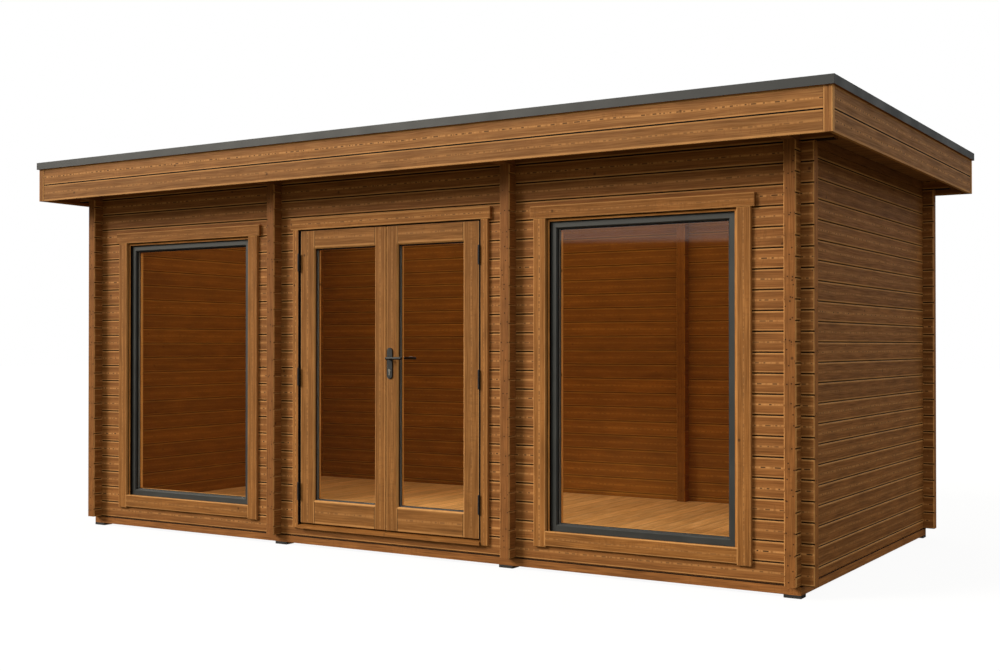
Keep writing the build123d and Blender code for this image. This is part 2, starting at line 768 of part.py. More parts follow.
with BuildPart() as lever:
    with BuildSketch(Plane.XZ.offset(-leaf_face)):
        with Locations((handle_x, handle_z)):
            Circle(spindle_radius)
    extrude(amount=-leaf_thickness)
    for base, out in ((leaf_face, -1), (leaf_back, 1)):
        with BuildSketch(Plane.XZ.offset(-base)):
            with Locations((handle_x, handle_z)):
                Circle(neck_radius)
        extrude(amount=-out * neck_length)
        grip_line = base + out * lever_offset
        with BuildLine(Plane.XY.offset(handle_z)) as grip:
            FilletPolyline(
                (handle_x, base), (handle_x, grip_line), (handle_x + lever_reach, grip_line), radius=lever_bend)
        with BuildSketch(Plane(origin=grip.line @ 0, z_dir=grip.line % 0)):
            Circle(lever_radius)
        sweep(path=grip.line)
        with Locations((handle_x + lever_reach, grip_line, handle_z)):
            Sphere(lever_radius)
save(lever.part, "door_lever")
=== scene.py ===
"""Garden office of interlocking stained logs: the surfaces, the small fittings, the light and the camera."""
import json
import logging
import math
from dataclasses import dataclass
from enum import Enum

import bmesh
import bpy
import numpy as np
from bpy.types import Material, Node, NodeSocket, NodeTree, Object
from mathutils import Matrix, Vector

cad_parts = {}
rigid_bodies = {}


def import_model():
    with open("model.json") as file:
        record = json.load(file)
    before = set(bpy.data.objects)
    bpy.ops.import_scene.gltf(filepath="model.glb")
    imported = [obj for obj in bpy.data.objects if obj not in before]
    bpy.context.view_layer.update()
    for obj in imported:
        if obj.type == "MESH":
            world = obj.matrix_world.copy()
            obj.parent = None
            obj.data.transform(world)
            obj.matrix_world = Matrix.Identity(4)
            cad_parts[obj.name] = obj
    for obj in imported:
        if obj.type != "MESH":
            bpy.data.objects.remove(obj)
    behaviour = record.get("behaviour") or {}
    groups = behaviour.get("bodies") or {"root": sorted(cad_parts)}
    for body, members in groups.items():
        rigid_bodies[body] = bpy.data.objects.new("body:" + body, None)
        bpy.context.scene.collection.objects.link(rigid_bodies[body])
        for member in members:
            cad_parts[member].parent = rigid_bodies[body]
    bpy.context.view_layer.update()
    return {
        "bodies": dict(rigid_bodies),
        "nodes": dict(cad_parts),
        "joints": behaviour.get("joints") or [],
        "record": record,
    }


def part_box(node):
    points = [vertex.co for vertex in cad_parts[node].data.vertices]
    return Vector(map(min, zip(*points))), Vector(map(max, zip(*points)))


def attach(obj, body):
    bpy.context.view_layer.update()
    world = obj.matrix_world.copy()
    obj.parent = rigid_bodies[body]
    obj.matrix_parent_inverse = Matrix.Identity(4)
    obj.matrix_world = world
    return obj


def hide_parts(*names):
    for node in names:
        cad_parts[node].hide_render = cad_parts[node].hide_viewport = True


log = logging.getLogger("garden_office")

MM = 0.001
COURSE = 104 * MM
BASE_TOP = 64 * MM
WINDOW = 1645 * MM  # from the middle of the office to the middle of either window
SIDES = (0.0,)  # fold that lays the left half on the right one
WINDOWS = (0.0, WINDOW)  # folds that lay both sides of both windows on each other
ONE_BOARD = (0.4, -1.3)  # width and first joint of a lie that has no joint inside its piece

MATH = "ShaderNodeMath"
VECTOR_MATH = "ShaderNodeVectorMath"
MIX = "ShaderNodeMix"
RANGE = "ShaderNodeMapRange"
NOISE = "ShaderNodeTexNoise"
SPLIT = "ShaderNodeSeparateXYZ"
COMBINE = "ShaderNodeCombineXYZ"
COORDINATES = "ShaderNodeTexCoord"
CELLS = "ShaderNodeTexVoronoi"
RAMP = "ShaderNodeValToRGB"
BUMP = "ShaderNodeBump"
BACKGROUND = "ShaderNodeBackground"


# ---------------------------------------------------------------- colours and nodes


def linear(code: str) -> tuple[float, float, float, float]:
    """Turns an sRGB hex colour to linear light.

    Args:
        code: Six hex digits, such as "8C5528".

    Returns:
        Red, green, blue and an alpha of one.
    """
    parts = [int(code[n : n + 2], 16) / 255 for n in (0, 2, 4)]
    light = [p / 12.92 if p <= 0.04045 else ((p + 0.055) / 1.055) ** 2.4 for p in parts]
    return light[0], light[1], light[2], 1.0


def feed(node: Node, inputs: list | dict | tuple) -> None:
    """Gives a node its inputs.

    Args:
        node: The node.
        inputs: What its inputs get, in order or by name or number: a value, an output socket, or a node for its first
            output in use.
    """
    for key, value in inputs.items() if isinstance(inputs, dict) else enumerate(inputs):
        if isinstance(value, Node):
            value = next(output for output in value.outputs if output.enabled)
        if isinstance(value, NodeSocket):
            node.id_data.links.new(value, node.inputs[key])
        else:
            node.inputs[key].default_value = value


def add(tree: NodeTree, kind: str, inputs: list | dict | tuple = (), **settings: object) -> Node:
    """Adds one node with its settings and links.

    Args:
        tree: The node tree that gets it.
        kind: The node's type name.
        inputs: What its inputs get, as in feed.
        settings: Attributes of the node and their values.

    Returns:
        The new node.
    """
    node = tree.nodes.new(kind)
    for name, value in settings.items():
        setattr(node, name, value)
    feed(node, inputs)
    return node


def stops(node: Node, entries: list[tuple[float, tuple[float, ...]]]) -> Node:
    """Sets a colour ramp's stops.

    Args:
        node: The colour ramp node.
        entries: Place and colour of each stop, in rising order.

    Returns:
        The same node.
    """
    ramp = node.color_ramp.elements
    while len(ramp) < len(entries):
        ramp.new(0.5)
    for element, (place, colour) in zip(ramp, entries):
        element.position = place
        element.color = colour
    return node


def blank(name: str) -> tuple[Material, NodeTree, Node]:
    """Makes a material with only its shader and output.

    Args:
        name: The material's name.

    Returns:
        The material, its node tree and its Principled shader.
    """
    material = bpy.data.materials.new(name)
    material.use_nodes = True
    tree = material.node_tree
    tree.nodes.clear()
    shader = add(tree, "ShaderNodeBsdfPrincipled")
    add(tree, "ShaderNodeOutputMaterial", {"Surface": shader})
    return material, tree, shader


# ---------------------------------------------------------------- finishes


class Axis(Enum):
    """The axes of the shared frame, as outputs of Separate XYZ."""

    X = 0
    Y = 1
    Z = 2


@dataclass(frozen=True)
class Span:
    """A stretch of one axis.

    Attributes:
        axis: The axis.
        low: Where it starts, in metres.
        high: Where it ends, in metres; 1 to 3 where it goes on past the end of its piece.
        folds: Places about which the axis is folded first, so that both sides of each place count alike.
    """

    axis: Axis
    low: float
    high: float
    folds: tuple[float, ...] = ()

    def mask(self, tree: NodeTree, axes: Node) -> Node:
        """Adds a mask that is one inside: the distance from the middle is at most half the length.

        Args:
            tree: The node tree.
            axes: The node with the three coordinates.

        Returns:
            The node with the mask.
        """
        value = axes.outputs[self.axis.value]
        for place in self.folds:
            off = add(tree, MATH, [value, place], operation="SUBTRACT")
            value = add(tree, MATH, [off], operation="ABSOLUTE")
        middle, reach = (self.low + self.high) / 2, (self.high - self.low) / 2
        return add(tree, MATH, [value, middle, reach], operation="COMPARE")


def within(tree: NodeTree, axes: Node, spans: tuple[Span, ...]) -> Node:
    """Adds a mask that is one where every span's mask is one.

    Args:
        tree: The node tree.
        axes: The node with the three coordinates.
        spans: The spans.

    Returns:
        The node with the mask.
    """
    mask = spans[0].mask(tree, axes)
    for span in spans[1:]:
        mask = add(tree, MATH, [mask, span.mask(tree, axes)], operation="MULTIPLY")
    return mask


@dataclass(frozen=True)
class Lie:
    """How the boards or logs of one region lie.

    Attributes:
        grain: The axis along which the grain runs.
        stack: The axis across the boards.
        board: Width of one board, joint to joint, in metres.
        first: Place of a joint on the stack axis, in metres.
        folds: Places about which the stack axis is folded, for boards that mirror.
        spans: The region, or nothing where it is all that no later region takes.
    """

    grain: Axis
    stack: Axis
    board: float
    first: float
    folds: tuple[float, ...] = ()
    spans: tuple[Span, ...] = ()

    def lines(self, tree: NodeTree, axes: Node) -> Node:
        """Adds the coordinates along the grain, across it and into the board."""
        order = (self.grain.value, self.stack.value, 3 - self.grain.value - self.stack.value)
        return add(tree, COMBINE, [axes.outputs[axis] for axis in order])

    def count(self, tree: NodeTree, axes: Node) -> tuple[Node, Node]:
        """Adds the board's number and the place across it, from 0 to 1.

        The number is floor((folded place - first) / board), plus 40 times the number of the stretch between folds.

        Args:
            tree: The node tree.
            axes: The node with the three coordinates.

        Returns:
            The nodes with the number and with the place across the board.
        """
        across: NodeSocket | Node = axes.outputs[self.stack.value]
        side: float | Node = 0.0
        for place in self.folds:
            off = add(tree, MATH, [across, place], operation="SUBTRACT")
            beyond = add(tree, MATH, [off, 0.0], operation="GREATER_THAN")
            side = add(tree, MATH, [side, 2.0, beyond], operation="MULTIPLY_ADD")
            across = add(tree, MATH, [off], operation="ABSOLUTE")
        moved = add(tree, MATH, [across, self.first], operation="SUBTRACT")
        boards = add(tree, MATH, [moved, self.board], operation="DIVIDE")
        whole = add(tree, MATH, [boards], operation="FLOOR")
        number = add(tree, MATH, [side, 40.0, whole], operation="MULTIPLY_ADD")
        return number, add(tree, MATH, [boards], operation="FRACT")


@dataclass(frozen=True)
class StainedTimber:
    """Planed softwood under a translucent brown stain.

    The stain lets the growth lines show a little. The joints are painted dark, as shade in their grooves, and a
    painted highlight lies on the bevels and beside the joints. The heart of a sawn log shows as a thin pale line
    along its middle, broken by a row of short dark checks and pin knots.

    Attributes:
        name: The material's name.
        lies: How the boards lie, first everywhere and then region by region.
        dark: Colour of the late wood.
        middle: Colour of most of the board.
        light: Colour of the early wood.
        pale: Colour of the heart's line.
        joint: How dark the joints are painted, as shade in their grooves, from 0 to 1.
        joint_width: Half the width of that dark line, in metres.
        arris: How strong the painted highlight on the beveled edges is, from 0 to 1.
        rim: How strong the painted highlight beside each joint or edge is, from 0 to 1.
        rim_width: How far from the joint or edge that reaches, in metres.
        heart: How strongly the heart's line and checks show, from 0 to 1.
        spread: How much one board differs from the next, from 0 to 1.
        ends: How bright the sawn ends of logs are against the log, with upright lines, or zero where none show.
        indoors: The room, in which the wood is drawn plainer and a deeper orange, or nothing.
        gaps: Regions painted dark: joints between boards, and lines of painted shade beside,
        behind and under other parts.
        roughness: Roughness of the stain.
        seed: Picks another set of boards.
    """

    name: str
    lies: tuple[Lie, ...]
    dark: str = "643C18"
    middle: str = "7E4F26"
    light: str = "925F31"
    pale: str = "BC8650"
    joint: float = 1.0
    joint_width: float = 2.6 * MM
    arris: float = 0.75
    rim: float = 0.6
    rim_width: float = 9.5 * MM
    heart: float = 1.0
    spread: float = 0.09
    ends: float = 0.0
    indoors: tuple[Span, ...] = ()
    gaps: tuple[tuple[Span, ...], ...] = ()
    roughness: float = 0.6
    seed: float = 0.0

    STREAKS = 150.0  # late-wood lines a metre: 2 to 4 mm apart in the wood, drawn 7 mm apart so that they show
    STRETCH = 5.0  # changes a metre along the grain
    WAVES = 2.6  # slow waves a metre
    SWAY = 0.02  # metres by which a slow wave bends the growth lines
    BLOTCHES = (4.0, 13.0, 13.0)  # changes of the stain's blotches a metre along, across and into the board
    CRACKS = (24.0, 5.0, 5.0)  # changes of the cracks' noise a metre along, across and into the board
    CHECKS = 27.0  # heart checks a metre
    KNOTS = 3.4  # places for a knot a metre, each way; about a third of them have one
    PINS = 38.0  # places for a pin knot a metre on sawn ends
    APART = 0.3  # added to the depth in metres before it is rounded, so that each wall's logs are their own
    HEART_SWAY = 0.09  # share of the board's width by which a slow wave moves the heart
    HEART = 0.545  # place of the heart across the board plus the wave's share, so that it keeps to the middle
    END_BOARD = 77.0  # board number that all sawn ends take
    HEARTLESS = 0.25  # place across the board that sawn ends take, which has no heart
    PLAIN = 0.55  # how much plainer the wood is indoors
    JOINT_SHADE_REACH = (8 * MM, 24 * MM)  # from a joint to where its painted shade starts to fade, and to where it ends
    JOINT_FADE = 1.8 * MM  # over which a joint's dark line fades
    RIM_FADE = 3 * MM  # over which the painted highlight beside a joint fades
    RELIEF = 0.5 * MM  # height of the growth lines and marks
    MARK = "2A1405"  # knots, checks and cracks
    PAINTED_HIGHLIGHT = "C8935A"  # colour of the painted highlight on bevels and beside joints
    DARK_JOINT_AND_SHADE = "160B04"  # dark of the joints and of the painted shade lines
    ORANGE = (1.15, 1.1, 0.4)  # red, green and blue indoors against those outdoors, which makes the room's wood a deeper orange
    IOR = 1.5
    SPECULAR = 0.12  # below the usual half, as the fibres break the stain's gloss

    def build(self) -> Material:
        """Makes the material: the boards' coordinates, then the marks, then the colour, the gloss and the relief."""
        material, tree, shader = blank(self.name)
        place = add(tree, COORDINATES)
        axes = add(tree, SPLIT, [place.outputs["Object"]])
        normal = add(tree, VECTOR_MATH, [place.outputs["Normal"]], operation="ABSOLUTE")
        facing = add(tree, SPLIT, [normal])
        lines, number, part = self.boards(tree, axes)
        near = add(tree, MATH, [part, 0.5], operation="PINGPONG")
        joined = near
        sawn: Node | float = 0.0
        if self.ends:
            lie = self.lies[0]
            sawn = add(tree, MATH, [facing.outputs[lie.grain.value], 1.0, 0.2], operation="COMPARE")
            turned = Lie(lie.stack, Axis(3 - lie.grain.value - lie.stack.value), lie.board, lie.first)
            lines = add(tree, MIX, {0: sawn, 4: lines, 5: turned.lines(tree, axes)}, data_type="VECTOR")
            number = add(tree, MIX, {0: sawn, 2: number, 3: self.END_BOARD})
            part = add(tree, MIX, {0: sawn, 2: part, 3: self.HEARTLESS})
            joined = add(tree, MIX, {0: sawn, 2: near, 3: 0.5})
        room: Node | float = within(tree, axes, self.indoors) if self.indoors else 0.0
        run = add(tree, SPLIT, [lines])

        # Each board is a different stretch of the same endless log
        lot_place = add(tree, MATH, [run.outputs[2], self.APART], operation="ADD")
        lot_row = add(tree, MATH, [lot_place], operation="FLOOR")
        key = add(tree, COMBINE, [number, lot_row, self.seed])
        lot = add(tree, "ShaderNodeTexWhiteNoise", {"Vector": key}, noise_dimensions="3D")
        slid = add(tree, MATH, [lot.outputs["Value"], 9.0, run.outputs[0]], operation="MULTIPLY_ADD")

        # Slow waves bend the growth lines, as round the knots of a flat-sawn board
        slow = add(tree, COMBINE, [slid, number, run.outputs[2]])
        wave = add(tree, NOISE, {"Vector": slow, "Scale": self.WAVES, "Detail": 1.0, "Roughness": 0.4})
        bent = add(tree, MATH, [wave, self.SWAY, run.outputs[1]], operation="MULTIPLY_ADD")
        fine = add(tree, COMBINE, [slid, bent, run.outputs[2]])
        scaled = add(tree, VECTOR_MATH, [fine, (self.STRETCH, self.STREAKS, self.STREAKS)], operation="MULTIPLY")
        growth = add(tree, NOISE, {"Vector": scaled, "Scale": 1.0, "Detail": 3.0, "Roughness": 0.6})
        shades = [(0.26, linear(self.dark)), (0.50, linear(self.middle)), (0.74, linear(self.light))]
        tone = stops(add(tree, RAMP, [growth]), shades)
        plain = add(tree, MATH, [room, self.PLAIN], operation="MULTIPLY")
        toned = add(tree, MIX, {0: plain, 6: tone, 7: linear(self.middle)}, data_type="RGBA")

        # Blotches a hand wide where the stain took differently, and a little difference from board to board
        wide = add(tree, VECTOR_MATH, [fine, self.BLOTCHES], operation="MULTIPLY")
        patch = add(tree, NOISE, {"Vector": wide, "Scale": 1.0, "Detail": 3.0, "Roughness": 0.6})
        shade = add(tree, RANGE, [lot.outputs["Value"], 0.0, 1.0, 1 - self.spread, 1 + self.spread])
        cloud = add(tree, RANGE, [patch, 0.28, 0.72, 0.84, 1.16])
        value = add(tree, MATH, [shade, cloud], operation="MULTIPLY")
        board = self.lies[0].board
        # Painted shade: the wood up to a tenth darker near each joint
        near_joint_shade = add(tree, RANGE, [near, self.JOINT_SHADE_REACH[0] / board, self.JOINT_SHADE_REACH[1] / board, 1 - 0.1 * self.joint, 1.0])
        strength = add(tree, MATH, [value, near_joint_shade], operation="MULTIPLY")
        if self.ends:
            ended = add(tree, MATH, [sawn, self.ends - 1, 1.0], operation="MULTIPLY_ADD")
            strength = add(tree, MATH, [strength, ended], operation="MULTIPLY")
        stained = add(tree, VECTOR_MATH, {0: toned, "Scale": strength}, operation="SCALE")

        # The heart: a thin pale line in a faintly paler zone, and the checks, knots and cross cracks
        swayed = add(tree, MATH, [wave, self.HEART_SWAY, part], operation="MULTIPLY_ADD")
        off = add(tree, MATH, [swayed, self.HEART], operation="SUBTRACT")
        apart = add(tree, MATH, [off], operation="ABSOLUTE")
        outdoors = add(tree, MATH, [1.0, plain], operation="SUBTRACT")
        kept = add(tree, RANGE, [lot.outputs["Value"], 0.0, 1.0, 0.45 * self.heart, self.heart])
        bold = add(tree, MATH, [kept, outdoors], operation="MULTIPLY")
        zone = add(tree, RANGE, [apart, 0.04, 0.26, 0.22, 0.0])
        thread = add(tree, RANGE, [apart, 0.03, 0.065, 0.9, 0.0])
        row = add(tree, COMBINE, [slid, number, 0.0])
        ticks = add(tree, NOISE, {"Vector": row, "Scale": self.CHECKS, "Detail": 1.0, "Roughness": 0.5})
        ragged = add(tree, RANGE, [ticks, 0.36, 0.48, 0.15, 1.0])
        torn = add(tree, MATH, [thread, ragged], operation="MULTIPLY")
        band = add(tree, MATH, [zone, torn], operation="MAXIMUM")
        banded = add(tree, MATH, [band, bold], operation="MULTIPLY")
        hearted = add(tree, MIX, {0: banded, 6: stained, 7: linear(self.pale)}, data_type="RGBA")
        broken = add(tree, RANGE, [ticks, 0.505, 0.545, 0.0, 1.0])
        narrow = add(tree, RANGE, [apart, 0.018, 0.042, 1.0, 0.0])
        check = add(tree, MATH, [narrow, broken], operation="MULTIPLY")
        checked = add(tree, MATH, [check, bold], operation="MULTIPLY")
        marks = self.marks(tree, fine, run, near, sawn, patch)
        calm = add(tree, MATH, [marks, outdoors], operation="MULTIPLY")
        marred = add(tree, MATH, [checked, calm], operation="MAXIMUM")
        marked = add(tree, MIX, {0: marred, 6: hearted, 7: linear(self.MARK)}, data_type="RGBA")

        # Painted highlight on the bevels and beside the joints, and painted shade in the joints and along the shade
        # lines
        widest = add(tree, MATH, [facing.outputs[0], facing.outputs[1]], operation="MAXIMUM")
        squarest = add(tree, MATH, [widest, facing.outputs[2]], operation="MAXIMUM")
        bevel = add(tree, RANGE, [squarest, 0.80, 0.97, self.arris, 0.0])
        highlight_breakup = add(tree, RANGE, [patch, 0.3, 0.7, 0.6, 1.0])
        highlight_from, highlight_to = self.rim_width / board, (self.rim_width + self.RIM_FADE) / board
        rim = add(tree, RANGE, [joined, highlight_from, highlight_to, self.rim, 0.0])
        edge = add(tree, MATH, [bevel, rim], operation="MAXIMUM")
        outdoor_highlight = add(tree, MATH, [highlight_breakup, outdoors], operation="MULTIPLY")
        lit = add(tree, MATH, [edge, outdoor_highlight], operation="MULTIPLY")
        bright = add(tree, MIX, {0: lit, 6: marked, 7: linear(self.PAINTED_HIGHLIGHT)}, data_type="RGBA")
        # Painted shade: a dark line in each joint's groove, and the given lines of painted shade
        faint = add(tree, MATH, [outdoors, self.joint], operation="MULTIPLY")
        dark_to, clean_from = self.joint_width / board, (self.joint_width + self.JOINT_FADE) / board
        dark_joint_and_shade_mask = add(tree, RANGE, [joined, dark_to, clean_from, faint, 0.0])
        for gap in self.gaps:
            dark_joint_and_shade_mask = add(tree, MATH, [dark_joint_and_shade_mask, within(tree, axes, gap)], operation="MAXIMUM")
        coloured = add(tree, MIX, {0: dark_joint_and_shade_mask, 6: bright, 7: linear(self.DARK_JOINT_AND_SHADE)}, data_type="RGBA")
        if self.indoors:
            orange = add(tree, VECTOR_MATH, [coloured, self.ORANGE], operation="MULTIPLY")
            coloured = add(tree, MIX, {0: room, 6: coloured, 7: orange}, data_type="RGBA")

        gloss = add(tree, RANGE, [growth, 0.3, 0.7, self.roughness + 0.08, self.roughness - 0.06])
        height = add(tree, MATH, [marred, -1.2, growth], operation="MULTIPLY_ADD")
        relief = add(tree, BUMP, {"Strength": 0.3, "Distance": self.RELIEF, "Height": height})
        feed(shader, {"Base Color": coloured, "Roughness": gloss, "Normal": relief})
        feed(shader, {"IOR": self.IOR, "Specular IOR Level": self.SPECULAR})
        return material

    def boards(self, tree: NodeTree, axes: Node) -> tuple[Node, Node, Node]:
        """Adds the coordinates of the boards, each region's in its own way.

        Args:
            tree: The node tree.
            axes: The node with the three coordinates.

        Returns:
            The nodes with the coordinates along, across and into the board, with its number, and with the place
            across it.
        """
        lines = self.lies[0].lines(tree, axes)
        number, part = self.lies[0].count(tree, axes)
        for lie in self.lies[1:]:
            mask = within(tree, axes, lie.spans)
            other_number, other_part = lie.count(tree, axes)
            lines = add(tree, MIX, {0: mask, 4: lines, 5: lie.lines(tree, axes)}, data_type="VECTOR")
            number = add(tree, MIX, {0: mask, 2: number, 3: other_number})
            part = add(tree, MIX, {0: mask, 2: part, 3: other_part})
        return lines, number, part

    def marks(self, tree: NodeTree, fine: Node, run: Node, near: Node, sawn: Node | float, patch: Node) -> Node:
        """Adds knots, faint cracks across the grain, and the pin knots of sawn ends, most of them at the joints.

        A crack is where a noise that changes fast along the grain and slowly across it passes through its middle.

        Args:
            tree: The node tree.
            fine: Place along, across and into the board.
            run: The board's own coordinates.
            near: Distance from the nearest joint, as a share of the board's width.
            sawn: One on sawn ends.
            patch: Noise that picks the places with cracks.

        Returns:
            The node with the marks.
        """
        spot = add(tree, SPLIT, [fine])
        flat = add(tree, COMBINE, [spot.outputs[0], run.outputs[1], 0.0])
        cells = add(tree, CELLS, {"Vector": flat, "Scale": self.KNOTS}, voronoi_dimensions="2D")
        chance = add(tree, SPLIT, [cells.outputs["Color"]])
        chosen = add(tree, MATH, [chance, 0.7], operation="GREATER_THAN")
        round_knot = add(tree, RANGE, [cells.outputs["Distance"], 0.015, 0.036, 0.65, 0.0])
        knot = add(tree, MATH, [round_knot, chosen], operation="MULTIPLY")
        crossed = add(tree, VECTOR_MATH, [fine, self.CRACKS], operation="MULTIPLY")
        upright = add(tree, NOISE, {"Vector": crossed, "Scale": 1.0, "Detail": 2.0, "Roughness": 0.5})
        cracks = add(tree, MATH, [upright, 0.5, 0.02], operation="COMPARE")
        few = add(tree, RANGE, [patch, 0.52, 0.62, 0.0, 0.14])
        crack = add(tree, MATH, [cracks, few], operation="MULTIPLY")
        marks = add(tree, MATH, [knot, crack], operation="MAXIMUM")
        if self.ends:
            pins = add(tree, CELLS, {"Vector": flat, "Scale": self.PINS}, voronoi_dimensions="2D")
            luck = add(tree, SPLIT, [pins.outputs["Color"]])
            least = add(tree, RANGE, [near, 0.08, 0.15, 0.35, 0.86])
            there = add(tree, MATH, [luck, least], operation="GREATER_THAN")
            dot = add(tree, RANGE, [pins.outputs["Distance"], 0.11, 0.19, 0.85, 0.0])
            kept = add(tree, MATH, [dot, there], operation="MULTIPLY")
            ended = add(tree, MATH, [kept, sawn], operation="MULTIPLY")
            marks = add(tree, MATH, [marks, ended], operation="MAXIMUM")
        return marks


@dataclass(frozen=True)
class CoatedMetal:
    """Metal under powder coat or with a mill finish, or moulded plastic, with the orange peel of its skin.

    Attributes:
        name: The material's name.
        colour: Colour of the coat or metal.
        metallic: One for bare metal and zero under a coat.
        roughness: Typical roughness.
        peel: Height of the coat's orange peel, in millimetres.
        grain: Distance between its bumps, in millimetres.
    """

    name: str
    colour: str
    metallic: float = 0.0
    roughness: float = 0.4
    peel: float = 0.05
    grain: float = 3.0

    def build(self) -> Material:
        """Makes the material: fine noise for the peel, and slow noise for handling marks."""
        material, tree, shader = blank(self.name)
        place = add(tree, COORDINATES).outputs["Object"]
        fine = add(tree, NOISE, {"Vector": place, "Scale": 1 / (self.grain * MM), "Detail": 2.0})
        slow = add(tree, NOISE, {"Vector": place, "Scale": 6.0, "Detail": 3.0})
        tint = add(tree, RANGE, [slow, 0.3, 0.7, 0.88, 1.12])
        base = add(tree, VECTOR_MATH, {0: linear(self.colour)[:3], "Scale": tint}, operation="SCALE")
        gloss = add(tree, RANGE, [slow, 0.3, 0.7, self.roughness - 0.05, self.roughness + 0.08])
        relief = add(tree, BUMP, {"Strength": 0.3, "Distance": self.peel * MM, "Height": fine})
        feed(shader, {"Base Color": base, "Roughness": gloss, "Normal": relief, "Metallic": self.metallic})
        return material


@dataclass(frozen=True)
class FloatGlass:
    """Clear float glass: a mirror where it is seen at a slant, and otherwise clear.

    Attributes:
        name: The material's name.
        colour: Colour of its mirror.
        ior: Index of refraction of soda-lime glass.
    """

    name: str
    colour: str = "F4F8F7"
    ior: float = 1.5

    def build(self) -> Material:
        """Makes the material: its share of mirror is the Fresnel share at that slant, and the rest lets light by.

        The pane is a thin solid seen from the air on both sides, so the index is turned over on the far face.
        """
        material, tree, shader = blank(self.name)
        side = add(tree, "ShaderNodeNewGeometry")
        index = add(tree, MIX, {0: side.outputs["Backfacing"], 2: self.ior, 3: 1 / self.ior})
        slant = add(tree, "ShaderNodeFresnel", {"IOR": index})
        feed(shader, {"Base Color": linear(self.colour), "Metallic": 1.0, "Roughness": 0.0, "Alpha": slant})
        return material


# ---------------------------------------------------------------- mesh work


class Patchwork:
    """Faces gathered from several parametric surfaces into one mesh."""

    def __init__(self) -> None:
        """Starts with nothing."""
        self.points: list[np.ndarray] = []
        self.faces: list[list[int]] = []
        self.count = 0

    def grid(self, points: np.ndarray, wrap_u: bool = False, wrap_v: bool = False) -> None:
        """Adds a surface given by its points on a grid of two parameters.

        Args:
            points: Array of shape (rows, columns, 3).
            wrap_u: Whether the last row joins the first.
            wrap_v: Whether the last column joins the first.
        """
        rows, columns = points.shape[:2]
        number = np.arange(rows * columns).reshape(rows, columns) + self.count
        if wrap_u:
            number = np.vstack([number, number[:1]])
        if wrap_v:
            number = np.hstack([number, number[:, :1]])
        quads = np.stack([number[:-1, :-1], number[1:, :-1], number[1:, 1:], number[:-1, 1:]], axis=-1)
        self.points.append(points.reshape(-1, 3))
        self.faces.extend(quads.reshape(-1, 4).tolist())
        self.count += rows * columns

    def run(self, sections: np.ndarray) -> None:
        """Adds a closed profile carried along a path, with both ends shut.

        Args:
            sections: Array of shape (stations, profile points, 3), each profile going round the same way.
        """
        first = self.count
        self.grid(sections, wrap_v=True)
        size = sections.shape[1]
        last = first + (sections.shape[0] - 1) * size
        self.faces.append(list(range(first + size - 1, first - 1, -1)))
        self.faces.append(list(range(last, last + size)))

    def ring(self, profile: np.ndarray, low: np.ndarray, high: np.ndarray) -> None:
        """Adds a mitred frame: a profile carried round a rectangle that stands in the XZ plane.

        A profile point (inset, y) is drawn inset inwards from the rectangle at depth y, at each of the four corners.

        Args:
            profile: Array of shape (points, 2) of inset and y.
            low: X and Z of the rectangle's lowest corner.
            high: X and Z of its highest corner.
        """
        corners = np.array([[0, 0], [1, 0], [1, 1], [0, 1]], float)
        places = low + corners * (high - low)
        inwards = 1 - 2 * corners
        flat = places[:, None, :] + inwards[:, None, :] * profile[None, :, :1]
        depth = np.broadcast_to(profile[None, :, 1:], (4, len(profile), 1))
        points = np.concatenate([flat[..., :1], depth, flat[..., 1:]], axis=-1)
        self.grid(points, wrap_u=True, wrap_v=True)

    def turned(self, profile: np.ndarray, middle: tuple[float, float, float], axis: Axis, sides: int = 20) -> None:
        """Adds a turned piece: a point at radius r and height h goes round the axis at that height.

        Args:
            profile: Array of shape (points, 2) of radius and height, from pole to pole.
            middle: The place of height zero.
            axis: The axis it is turned about.
            sides: Number of steps round.
        """
        angle = np.arange(sides) * 2 * math.pi / sides
        radius, height = profile[:, None, 0], profile[:, None, 1]
        points = np.zeros((len(profile), sides, 3))
        others = [n for n in range(3) if n != axis.value]
        points[..., others[0]] = radius * np.cos(angle)
        points[..., others[1]] = radius * np.sin(angle)
        points[..., axis.value] = height
        self.grid(points + np.array(middle), wrap_v=True)

    def piece(self, name: str, material: Material, smooth: bool = False) -> Object:
        """Makes the mesh object, its poles closed and its faces outwards.

        Args:
            name: The piece's name.
            material: Its finish.
            smooth: Whether its faces are shaded smooth.

        Returns:
            The object, at the origin.
        """
        mesh = bpy.data.meshes.new(name)
        mesh.from_pydata(np.concatenate(self.points).tolist(), [], self.faces)
        mesh.materials.append(material)
        work = bmesh.new()
        work.from_mesh(mesh)
        bmesh.ops.remove_doubles(work, verts=work.verts, dist=0.01 * MM)
        bmesh.ops.recalc_face_normals(work, faces=work.faces)
        work.to_mesh(mesh)
        work.free()
        mesh.polygons.foreach_set("use_smooth", np.full(len(mesh.polygons), smooth))
        mesh.validate()
        thing = bpy.data.objects.new(name, mesh)
        bpy.context.scene.collection.objects.link(thing)
        log.info("%s: %d faces", name, len(mesh.polygons))
        return thing


def corners(node: str) -> tuple[np.ndarray, np.ndarray]:
    """Returns a CAD node's lowest and highest corners as arrays."""
    low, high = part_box(node)
    return np.array(low), np.array(high)


# ---------------------------------------------------------------- sub-assemblies


@dataclass
class Assembly:
    """A sub-assembly: the CAD nodes by name, and in each class below its own sizes in metres."""

    nodes: dict[str, Object]

    def wear(self, finish: Material, *names: str) -> None:
        """Gives nodes one finish all over.

        Args:
            finish: The finish.
            names: The nodes' names.
        """
        for name in names:
            slots = self.nodes[name].data.materials
            slots.clear()
            slots.append(finish)
            log.info("%s: %s", name, finish.name)


